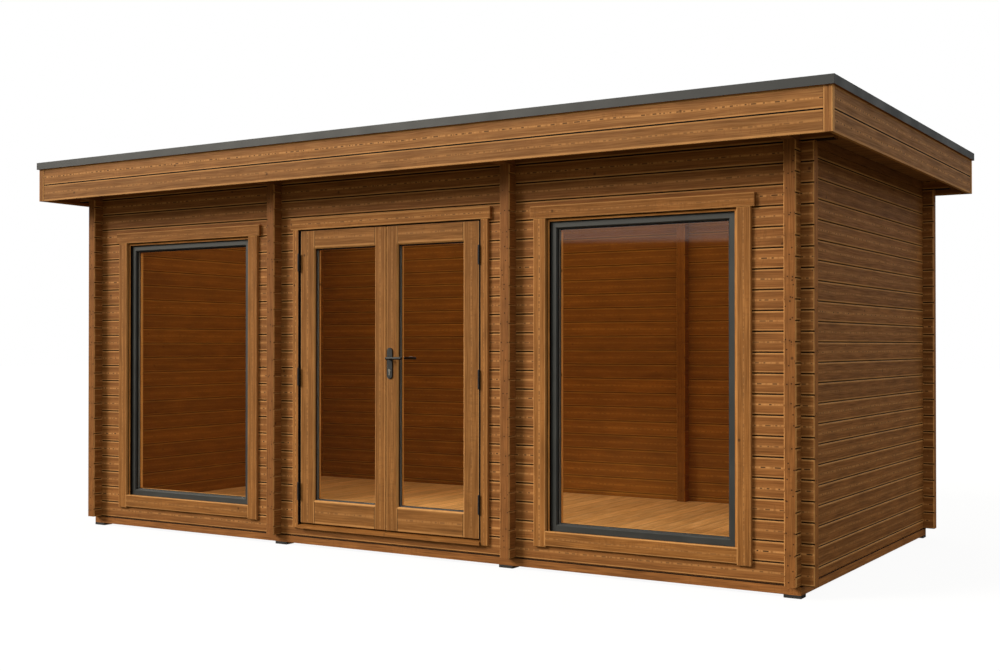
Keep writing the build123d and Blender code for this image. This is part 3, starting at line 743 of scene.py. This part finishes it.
@dataclass
class Walls(Assembly):
    """The log walls, the crossing piers, the wall plates and the roof beams."""

    course: float = COURSE
    base: float = BASE_TOP
    half_length: float = 2.490
    front: float = -1.150
    back: float = 1.220
    height: float = 2.6

    def room(self) -> tuple[Span, ...]:
        """Returns the room up to the middle of the walls."""
        return (
            Span(Axis.X, -self.half_length, self.half_length),
            Span(Axis.Y, self.front, self.back),
            Span(Axis.Z, self.base, self.height),
        )

    def dress(self) -> None:
        """Gives each wall node its finish; logs that run from front to back lie half a course higher."""
        room = self.room()
        ahead = (Lie(Axis.X, Axis.Z, self.course, self.base),)
        beside = (Lie(Axis.Y, Axis.Z, self.course, self.base + self.course / 2),)
        front = StainedTimber("stained_log_front", ahead, ends=1.35, indoors=room, seed=1.0).build()
        back = StainedTimber("stained_log_back", ahead, ends=1.35, indoors=room, seed=2.0).build()
        side = StainedTimber(
            "stained_log_side", beside, joint_width=1.8 * MM, heart=0.7, ends=1.0, indoors=room, seed=3.0
        ).build()
        pier = StainedTimber(
            "stained_log_pier", beside, middle="82522A", joint=0.6, joint_width=1.2 * MM, rim=0.0, heart=0.1,
            ends=0.86, indoors=room, seed=4.0,
        ).build()
        self.wear(
            front, "front_sill_logs", "front_head_logs", "front_outer_walls", "front_inner_walls",
            "doorway_sill_log", "doorway_head_logs", "front_plate",
        )
        self.wear(back, "back_wall", "back_plate")
        self.wear(side, "left_wall", "right_wall")
        self.wear(pier, "front_piers", "back_piers", "roof_beams")


@dataclass
class Joinery(Assembly):
    """Window linings and architraves, the door frame, the leaves and the threshold."""

    window_half: float = 538 * MM
    window_low: float = 227 * MM
    window_high: float = 1922 * MM
    reveal: float = 16 * MM
    trim: float = 75 * MM
    head: float = 70 * MM
    bottom: float = 80 * MM
    door_half: float = 667 * MM
    door_trim: float = 50 * MM
    door_high: float = 1957 * MM
    leaf_low: float = 149 * MM
    leaf_high: float = 1951 * MM
    leaf_gap: float = 6 * MM
    meeting: float = 3 * MM
    meeting_stile: float = 82 * MM
    hinge_stile: float = 114 * MM
    top_rail: float = 114 * MM
    bottom_rail: float = 143 * MM
    moulding: float = 8 * MM
    # Width of the painted shade line on the linings' outer edges and the door architrave's inner edge
    seal: float = 5 * MM
    line: float = 1.5 * MM  # half the width of the fine line where two boards meet
    front: float = -1185 * MM
    leaf_back: float = -1149 * MM

    def finish(self, name: str, lies: tuple[Lie, ...], **more: object) -> Material:
        """Makes a joinery finish: lighter than the logs, with no joints between its boards.

        Args:
            name: The material's name.
            lies: How its boards lie.
            more: What else differs from the logs' finish.

        Returns:
            The material.
        """
        kind = {"joint": 0.0, "heart": 0.8, "spread": 0.06, "rim_width": 4 * MM}
        colours = {"middle": "855527", "light": "9A6836", "dark": "69411B"}
        return StainedTimber(name, lies, **{**kind, **colours, **more}).build()

    def dress(self) -> None:
        """Gives each piece of joinery its finish, with the grain along each board."""
        self.windows()
        self.doorway()
        self.leaves()

    def windows(self) -> None:
        """Dresses the windows' architraves and linings, with painted shade on the linings' edges and inner faces."""
        legs, head = self.window_half + self.reveal, self.window_high + self.reveal
        under = (Span(Axis.X, 0.0, legs, WINDOWS), Span(Axis.Z, 0.0, self.window_low))
        trim = self.finish(
            "stained_window_architrave",
            (
                Lie(Axis.Z, Axis.X, self.trim, legs, WINDOWS),
                Lie(Axis.X, Axis.Z, self.bottom, self.window_low - self.bottom, spans=under),
                Lie(Axis.X, Axis.Z, self.head, head, spans=(Span(Axis.Z, head, 3.0),)),
            ),
            seed=21.0,
        )
        sides = Span(Axis.X, self.window_half, 2.0, WINDOWS)
        behind = Span(Axis.Y, self.front + 2 * MM, 0.0)
        lining = self.finish(
            "stained_window_lining",
            (Lie(Axis.X, Axis.Y, *ONE_BOARD), Lie(Axis.Z, Axis.Y, *ONE_BOARD, spans=(sides,))),
            # Painted shade on the lining's edge beside the architrave and on its inner faces behind the front
            gaps=(
                (Span(Axis.X, legs - self.seal, 2.0, WINDOWS),),
                (Span(Axis.Z, head - self.seal, 3.0),),
                (Span(Axis.X, 0.0, self.window_half + MM, WINDOWS), behind),
                (Span(Axis.Z, 1.0, self.window_high + MM), behind),
            ),
            heart=0.0, rim=0.0, middle="A87038", light="C08A4E", dark="8A5A28", seed=22.0,
        )
        self.wear(trim, "window_trims")
        self.wear(lining, "window_linings")

    def doorway(self) -> None:
        """Dresses the doorway's architrave, its frame and the threshold under the leaves' meeting line."""
        over = Span(Axis.Z, self.door_high, 3.0)
        trim = self.finish(
            "stained_door_architrave",
            (
                Lie(Axis.Z, Axis.X, self.door_trim, self.door_half, SIDES),
                Lie(Axis.X, Axis.Z, self.head, self.door_high, spans=(over,)),
            ),
            # Painted shade along the architrave's inner edge beside the doorway
            gaps=((Span(Axis.X, 0.0, self.door_half + self.seal, SIDES), Span(Axis.Z, 0.0, self.door_high)),),
            seed=23.0,
        )
        frame = self.finish(
            "stained_door_frame",
            (Lie(Axis.Z, Axis.Y, *ONE_BOARD), Lie(Axis.X, Axis.Y, *ONE_BOARD, spans=(over,))),
            # Painted shade on the frame's faces in front of the leaves' backs
            gaps=((Span(Axis.Y, -2.0, self.leaf_back),),), heart=0.0, rim=0.0, seed=24.0,
        )
        threshold = self.finish(
            "stained_door_threshold", (Lie(Axis.X, Axis.Y, *ONE_BOARD),),
            gaps=((Span(Axis.X, -self.line, self.line),),), heart=0.0, rim=0.0, seed=26.0,
        )
        self.wear(trim, "door_trim")
        self.wear(frame, "door_jambs", "door_head")
        self.wear(threshold, "door_threshold")

    def leaves(self) -> None:
        """Dresses the leaves: upright stiles, rails between them, and a fine line where they meet."""
        rail_low = self.leaf_low + self.bottom_rail - self.moulding
        rail_high = self.leaf_high - self.top_rail + self.moulding
        inner, outer = self.meeting + self.meeting_stile, self.door_half - self.leaf_gap - self.hinge_stile
        between = Span(Axis.X, inner, outer, SIDES)
        leaf = self.finish(
            "stained_door_leaf",
            (
                Lie(Axis.Z, Axis.X, self.meeting_stile, self.meeting, SIDES),
                Lie(Axis.Z, Axis.X, self.hinge_stile, outer, SIDES, (Span(Axis.X, outer, 1.0, SIDES),)),
                Lie(Axis.X, Axis.Z, self.bottom_rail, self.leaf_low, (), (between, Span(Axis.Z, 0.0, rail_low))),
                Lie(Axis.X, Axis.Z, self.top_rail, rail_high, (), (between, Span(Axis.Z, rail_high, 3.0))),
            ),
            gaps=(
                # Painted shadow along each leaf's hinge edge and along its top under the head; then fine dark joint
                # lines where stiles meet rails
                (Span(Axis.X, self.door_half - 2 * self.leaf_gap, 1.0, SIDES),),
                (Span(Axis.Z, self.leaf_high - 3 * MM, 3.0),),
                *(
                    (Span(Axis.X, place - self.line, place + self.line, SIDES), Span(Axis.Z, *rail))
                    for place in (inner, outer)
                    for rail in ((0.0, rail_low), (rail_high, 3.0))
                ),
            ),
            heart=0.5, rim=0.5, rim_width=6 * MM, middle="7C5025", light="8F6133", dark="623D19", seed=25.0,
        )
        self.wear(leaf, "left_door_leaf", "right_door_leaf")


@dataclass
class Roof(Assembly):
    """Fascia boards, corner posts, soffit, deck, kerb, membrane and the metal edge."""

    board: float = 109 * MM
    soffit_board: float = 96 * MM
    post: float = 45 * MM
    half_length: float = 2.775
    half_depth: float = 1.465
    post_side: float = 30 * MM
    shadow: float = 6 * MM
    fall: float = 34 * MM
    lap_inset: float = 60 * MM
    lap_width: float = 60 * MM
    lap_height: float = 1.2 * MM
    lap_edge: float = 2 * MM
    lap_count: int = 5
    lap_pitch: float = 1.05

    def dress(self) -> None:
        """Gives each roof node its finish and lays the laps of the membrane."""
        start = float(corners("fascia_front")[0][2])
        kind = {"middle": "81552E", "light": "93683B", "dark": "68421C", "joint": 0.0}
        edge_x, edge_y = self.half_length - self.post, self.half_depth - self.post_side
        seam = (Span(Axis.Z, 0.0, self.shadow / 2 + MM, (start + self.board,)),)
        ahead = StainedTimber(
            "stained_fascia_front", (Lie(Axis.X, Axis.Z, self.board, start),),
            # Painted shade: a dark line on the boards beside each corner post
            gaps=(seam, (Span(Axis.X, edge_x - 2 * MM, 3.0, SIDES),)), seed=5.0, **kind,
        ).build()
        beside = StainedTimber(
            "stained_fascia_side", (Lie(Axis.Y, Axis.Z, self.board, start),),
            # Painted shade: a dark line on the boards beside each corner post
            gaps=(seam, (Span(Axis.Y, edge_y - self.shadow, 3.0, SIDES),)), seed=6.0, **kind,
        ).build()
        upright = StainedTimber(
            "stained_fascia_post", (Lie(Axis.Z, Axis.X, self.post, edge_x, SIDES),),
            # Painted highlight along both edges of each post
            heart=0.0, rim=0.9, rim_width=4 * MM, seed=7.0, **kind,
        ).build()
        under = StainedTimber(
            "stained_soffit_board", (Lie(Axis.X, Axis.Y, self.soffit_board, 0.0),), joint=0.6, heart=0.4,
            indoors=Walls(self.nodes).room(), seed=8.0,
        ).build()
        sawn = StainedTimber(
            "sawn_softwood", (Lie(Axis.Y, Axis.X, 0.14, 0.0),), arris=0.0, heart=0.3, roughness=0.75, seed=9.0
        ).build()
        edge = CoatedMetal("folded_coated_sheet", "1E2124", roughness=0.5).build()
        sheet = CoatedMetal("roofing_membrane", "26272A", roughness=0.7, peel=0.4, grain=9.0).build()
        self.wear(ahead, "fascia_front", "fascia_back")
        self.wear(beside, "fascia_sides")
        self.wear(upright, "fascia_posts")
        self.wear(under, "soffit_boards")
        self.wear(sawn, "roof_deck", "roof_kerb")
        self.wear(edge, "roof_edge_trim")
        self.wear(sheet, "roof_membrane")
        self.laps(sheet)

    def laps(self, sheet: Material) -> None:
        """Lays the welded laps of the membrane from front to back, down the fall.

        A lap's profile is a low strip with sloped edges; its height follows the straight line of the roof's fall.

        Args:
            sheet: Finish of the membrane.
        """
        low, high = corners("roof_membrane")
        ends = np.array([low[1] + self.lap_inset, high[1] - self.lap_inset])
        level = high[2] - self.fall * (ends - low[1]) / (high[1] - low[1])
        w, h, e = self.lap_width / 2, self.lap_height, self.lap_edge
        profile = np.array([[-w, -MM], [w, -MM], [w, 0.0], [w - e, h], [-w + e, h], [-w, 0.0]])
        work = Patchwork()
        for place in (np.arange(self.lap_count) - (self.lap_count - 1) / 2) * self.lap_pitch:
            sections = np.zeros((2, len(profile), 3))
            sections[..., 0] = place + profile[None, :, 0]
            sections[..., 1] = ends[:, None]
            sections[..., 2] = level[:, None] + profile[None, :, 1]
            work.run(sections)
        piece = work.piece("membrane_laps", sheet)
        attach(piece, "building")


@dataclass
class Base(Assembly):
    """Pads, bearers, joists and the floor boards."""

    board: float = 112 * MM
    chamfer: float = 1.5 * MM
    pier: float = 859 * MM
    pier_gap: float = 36 * MM
    pier_depth: float = 104 * MM
    wall_line: float = 32 * MM
    clearance: float = 4 * MM
    side_bearer: float = 2.455
    shadow: float = 6 * MM

    def dress(self) -> None:
        """Gives the base nodes their finish and lays the floor boards in the deck's place."""
        kind = {"joint": 0.0, "heart": 0.15, "rim": 0.0, "middle": "84532A", "light": "9B6635"}
        sides = (Span(Axis.X, self.side_bearer, 3.0, SIDES),)
        bearer = StainedTimber(
            "stained_bearer", (Lie(Axis.X, Axis.Y, *ONE_BOARD), Lie(Axis.Y, Axis.X, 0.4, 2.3, SIDES, sides)),
            # Painted shade along the bearer's top edge, under the bottom log
            gaps=((Span(Axis.Z, BASE_TOP - self.shadow, BASE_TOP),),), seed=11.0, **kind,
        ).build()
        joist = StainedTimber("sawn_joist", (Lie(Axis.Y, Axis.X, 0.4, 0.0),), seed=12.0, **kind).build()
        pad = CoatedMetal("moulded_levelling_pad", "1A1A1B", roughness=0.6, peel=0.2, grain=2.0).build()
        self.wear(bearer, "base_bearers")
        self.wear(joist, "floor_joists")
        self.wear(pad, "base_pads")
        self.floor()

    def floor(self) -> None:
        """Lays tongued boards from front to back, those between the piers' logs cut to fit.

        Each board's profile is a rectangle with its two top corners cut off, carried from the front to the back.
        """
        low, high = corners("floor_deck")
        inner, outer = self.pier - self.pier_gap, self.pier + self.pier_gap
        stretches = [low[0], -outer, -inner, inner, outer, high[0]]
        c, thick = self.chamfer, high[2] - low[2]
        work = Patchwork()
        for n, (start, end) in enumerate(zip(stretches, stretches[1:])):
            count = max(1, round((end - start) / self.board))
            edges = np.linspace(start, end, count + 1)
            back_off = self.pier_depth - self.wall_line - self.clearance if n % 2 else 0.0
            for left, right in zip(edges, edges[1:]):
                profile = np.array([
                    [left, 0], [right, 0], [right, thick - c], [right - c, thick], [left + c, thick], [left, thick - c]
                ])
                sections = np.zeros((2, len(profile), 3))
                sections[..., 0] = profile[None, :, 0]
                sections[..., 1] = np.array([[low[1] + back_off], [high[1] - back_off]])
                sections[..., 2] = low[2] + profile[None, :, 1]
                work.run(sections)
        width = 2 * inner / round(2 * inner / self.board)
        finish = StainedTimber(
            "oiled_floor_board", (Lie(Axis.Y, Axis.X, width, -inner),), dark="C08A48", middle="DDA868",
            light="EBC08A", joint=0.4, arris=0.2, rim=0.0, heart=0.2, spread=0.14, roughness=0.42, seed=13.0,
        ).build()
        boards = work.piece("floor_boards", finish)
        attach(boards, "building")
        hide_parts("floor_deck")


@dataclass
class Glazing(Assembly):
    """Panes, window frames and the seals and beads round the panes."""

    rebate: float = 12 * MM
    gasket: float = 5 * MM
    lip: float = 4 * MM
    spacer: float = 3 * MM
    spacer_depth: float = 10 * MM
    bead: float = 7 * MM
    seal: float = 2 * MM
    window_bead: float = 24 * MM
    door_bead: float = 16 * MM

    def dress(self) -> None:
        """Gives the panes and frames their finish and adds the seals of each pane."""
        frame = CoatedMetal("powder_coated_window_frame", "282A2A", roughness=0.45).build()
        rubber = CoatedMetal("glazing_gasket_rubber", "0D0D0E", roughness=0.6).build()
        bar = CoatedMetal("moulded_spacer_bar", "868E92", roughness=0.5).build()
        uprights = (Span(Axis.Z, 0.26, 1.86),)
        bead = StainedTimber(
            "stained_glazing_bead", (Lie(Axis.X, Axis.Y, *ONE_BOARD), Lie(Axis.Z, Axis.Y, *ONE_BOARD, spans=uprights)),
            # Pale golden bead, drawn lighter still so that it reads as lit in the frame's shade: partly its own
            # colour, partly painted light
            joint=0.0, heart=0.0, rim=0.0, dark="C48A48", middle="DAA058", light="EAB674", seed=15.0,
        ).build()
        self.wear(frame, "window_frames")
        self.wear(FloatGlass("clear_float_glass").build(), "window_glass", "left_door_glass", "right_door_glass")
        finishes = {"gasket": rubber, "spacer": bar, "seal": rubber, "bead": bead}
        for side, sign in (("left", -1), ("right", 1)):
            low, high = corners("window_glass")
            half = (high[0] - low[0]) / 2 - WINDOW
            low[0], high[0] = sign * WINDOW - half, sign * WINDOW + half
            self.seals(f"{side}_window", "building", low, high, self.window_bead, finishes)
            low, high = corners(f"{side}_door_glass")
            self.seals(f"{side}_door", f"{side}_door", low, high, self.door_bead, finishes)

    def seals(
        self, name: str, body: str, low: np.ndarray, high: np.ndarray, depth: float, finishes: dict[str, Material]
    ) -> None:
        """Puts a gasket in front of a pane, and a spacer bar, a gasket and a timber bead behind it.

        Each is a closed profile of insets and depths, carried round the pane as a mitred frame.

        Args:
            name: The pane's name.
            body: The body that carries it.
            low: The pane's lowest corner.
            high: The pane's highest corner.
            depth: Depth of the bead.
            finishes: Finish of each part.
        """
        front, back = low[1], high[1]
        deep = back + self.spacer_depth
        rest = deep + self.seal
        profiles = {
            "gasket": [(0, front - self.gasket), (self.gasket, front - self.lip), (self.gasket, front), (0, front)],
            "spacer": [(0, back), (self.spacer, back), (self.spacer, deep), (0, deep)],
            "seal": [(0, deep), (self.bead, deep), (self.bead, rest), (0, rest)],
            "bead": [(0, rest), (self.bead, rest), (self.bead, deep + depth), (MM, rest + depth), (0, rest + depth)],
        }
        for part, profile in profiles.items():
            work = Patchwork()
            work.ring(np.array(profile), low[[0, 2]] + self.rebate, high[[0, 2]] - self.rebate)
            piece = work.piece(f"{name}_{part}", finishes[part])
            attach(piece, body)


@dataclass
class Ironmongery(Assembly):
    """Hinges, handle plates, lever and lock, with the hinge tips and the plates' screws."""

    pin_x: float = 664 * MM
    pin_y: float = -1212 * MM
    levels: tuple[float, ...] = (1756 * MM, 1050 * MM, 344 * MM)
    half_height: float = 52 * MM
    tip: float = 6 * MM
    tip_height: float = 4.5 * MM
    screw: float = 3.4 * MM
    screw_inset: float = 13 * MM

    def dress(self) -> None:
        """Gives the ironmongery its finish and adds the small turned pieces."""
        black = CoatedMetal("black_powder_coated_steel", "0D0F11", roughness=0.48, peel=0.04, grain=1.5).build()
        satin = CoatedMetal("satin_nickel", "B7B1A6", metallic=1.0, roughness=0.3, peel=0.01, grain=1.0).build()
        self.wear(
            black, "door_hinges_fixed", "left_hinge_moving", "right_hinge_moving", "handle_plates", "door_lever"
        )
        self.wear(satin, "door_lock")
        self.tips(black)
        self.screws(black)

    def tips(self, black: Material) -> None:
        """Puts a rounded tip on both ends of each hinge: a quarter of an ellipse turned about the pin.

        Args:
            black: Finish of the tips.
        """
        angle = np.linspace(0, math.pi / 2, 7)
        dome = np.stack([self.tip * np.cos(angle), self.tip_height * np.sin(angle)], axis=-1)
        profile = np.vstack([[[0.0, 0.0]], dome])
        work = Patchwork()
        for side in (-1, 1):
            for level in self.levels:
                for way in (-1, 1):
                    place = (side * self.pin_x, self.pin_y, level + way * self.half_height)
                    work.turned(profile * np.array([1, way]), place, Axis.Z)
        piece = work.piece("hinge_tips", black, smooth=True)
        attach(piece, "building")

    def screws(self, black: Material) -> None:
        """Puts two raised countersunk screws on each handle plate.

        The profile goes from a flat socket up its wall, over a low dome and down to the plate, turned about Y.

        Args:
            black: Finish of the screws.
        """
        low, high = corners("handle_plates")
        middle = float(low[0] + high[0]) / 2
        r = self.screw
        profile = np.array([[0, 0.1], [0.38, 0.1], [0.42, 0.34], [0.7, 0.26], [0.95, 0.1], [1.0, 0.0], [0, 0.0]]) * r
        work = Patchwork()
        for face, way in ((float(low[1]), -1), (float(high[1]), 1)):
            for level in (float(low[2]) + self.screw_inset, float(high[2]) - self.screw_inset):
                work.turned(profile * np.array([1, way]), (middle, face, level), Axis.Y)
        piece = work.piece("handle_screws", black)
        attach(piece, "right_door")


# ---------------------------------------------------------------- studio


@dataclass
class Studio:
    """Pale floor, soft daylight from the upper left, and the camera at the photograph's place."""

    eye: tuple[float, float, float] = (4.635, -7.360, 1.241)
    turn: float = 31.92
    tilt: float = 0.452
    lens: float = 46.69
    sun_turn: float = -46.0
    sun_height: float = 28.0
    sun_angle: float = 24.0
    sun_power: float = 3.6
    sun_colour: tuple[float, float, float] = (1.0, 0.93, 0.80)
    sky: float = 0.92
    sky_soft: tuple[float, ...] = (0.98, 0.96, 0.86, 1)
    sky_below: tuple[float, ...] = (0.26, 0.22, 0.13, 1)
    sky_mirrored: tuple[float, ...] = (0.62, 0.62, 0.60, 1)
    haze_mirrored: tuple[float, ...] = (0.02, 0.02, 0.02, 1)
    horizon: float = 0.078  # sine of the height at which the bright part of the mirrored sky starts
    floor_reach: float = 60.0
    floor_glow: float = 0.93
    room_light: float = 31.0
    room_colour: tuple[float, float, float] = (1.0, 0.78, 0.5)
    room_size: tuple[float, float] = (4.6, 2.0)
    room_place: tuple[float, float, float] = (0.0, 0.035, 2.24)

    def floor(self) -> None:
        """Lays a wide pale floor that glows a little, as a lit studio floor does, and bounces no light upwards."""
        work = Patchwork()
        reach = self.floor_reach
        u, v = np.meshgrid([-reach, reach], [-reach, reach], indexing="ij")
        work.grid(np.stack([u, v, np.zeros_like(u)], axis=-1))
        material, _, shader = blank("pale_studio_floor")
        feed(shader, {"Base Color": linear("4A4A4A"), "Roughness": 1.0, "Specular IOR Level": 0.0})
        feed(shader, {"Emission Color": (1.0, 1.0, 1.0, 1.0), "Emission Strength": self.floor_glow})
        piece = work.piece("studio_floor", material)
        piece.visible_diffuse = False
        piece.visible_glossy = False

    def light(self) -> None:
        """Sets one soft sun and the room's own light, which the camera and the panes don't see."""
        data = bpy.data.lights.new("soft_sun", "SUN")
        data.energy = self.sun_power
        data.angle = math.radians(self.sun_angle)
        data.color = self.sun_colour
        sun = bpy.data.objects.new("soft_sun", data)
        sun.rotation_euler = (math.radians(90 - self.sun_height), 0, math.radians(self.sun_turn))
        bpy.context.scene.collection.objects.link(sun)
        lamp = bpy.data.lights.new("room_light", "AREA")
        lamp.shape = "RECTANGLE"
        lamp.size, lamp.size_y = self.room_size
        lamp.energy = self.room_light
        lamp.color = self.room_colour
        ceiling = bpy.data.objects.new("room_light", lamp)
        ceiling.location = self.room_place
        ceiling.visible_camera = False
        ceiling.visible_glossy = False
        bpy.context.scene.collection.objects.link(ceiling)

    def sky_dome(self) -> None:
        """Sets the sky: soft for diffuse light, for mirrors bright only above a low haze, and white to the eye."""
        world = bpy.data.worlds.new("studio_sky")
        bpy.context.scene.world = world
        world.use_nodes = True
        tree = world.node_tree
        tree.nodes.clear()
        height = add(tree, SPLIT, [add(tree, COORDINATES).outputs["Generated"]]).outputs[2]
        diffuse = stops(add(tree, RAMP, [height]), [(0.0, self.sky_below), (0.25, self.sky_soft)])
        mirror = stops(
            add(tree, RAMP, [height]), [(self.horizon, self.haze_mirrored), (self.horizon + 0.004, self.sky_mirrored)]
        )
        soft = add(tree, BACKGROUND, [diffuse, self.sky])
        mirrored = add(tree, BACKGROUND, [mirror, 1.0])
        white = add(tree, BACKGROUND, [(1, 1, 1, 1), 1.0])
        ray = add(tree, "ShaderNodeLightPath")
        unseen = add(tree, "ShaderNodeMixShader", [ray.outputs["Is Glossy Ray"], soft, mirrored])
        seen = add(tree, "ShaderNodeMixShader", [ray.outputs["Is Camera Ray"], unseen, white])
        add(tree, "ShaderNodeOutputWorld", {"Surface": seen})

    def camera(self) -> None:
        """Stands the camera at the eye, turned from straight ahead towards the left and tilted up a little."""
        data = bpy.data.cameras.new("photo_camera")
        data.lens = self.lens
        data.sensor_width = 36.0
        data.clip_end = 200.0
        thing = bpy.data.objects.new("photo_camera", data)
        thing.location = self.eye
        thing.rotation_euler = (math.radians(90 + self.tilt), 0, math.radians(self.turn))
        bpy.context.scene.collection.objects.link(thing)
        bpy.context.scene.camera = thing

    def build(self) -> None:
        """Builds the camera, the floor and the light, and shows colours as they are."""
        self.camera()
        self.floor()
        self.light()
        self.sky_dome()
        bpy.context.scene.view_settings.view_transform = "Standard"


def size(bounds: tuple) -> list[list[float]]:
    """Returns a box as plain lists of numbers."""
    return [[float(v) for v in corner] for corner in bounds]


def main() -> None:
    """Builds the sub-assemblies in order."""
    logging.basicConfig(level=logging.INFO)
    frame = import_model()
    nodes = frame["nodes"]
    for kind in (Walls, Joinery, Roof, Base, Glazing, Ironmongery):
        kind(nodes).dress()
        log.info("%s dressed", kind.__name__)
    Studio().build()


if __name__ == "__main__":
    main()
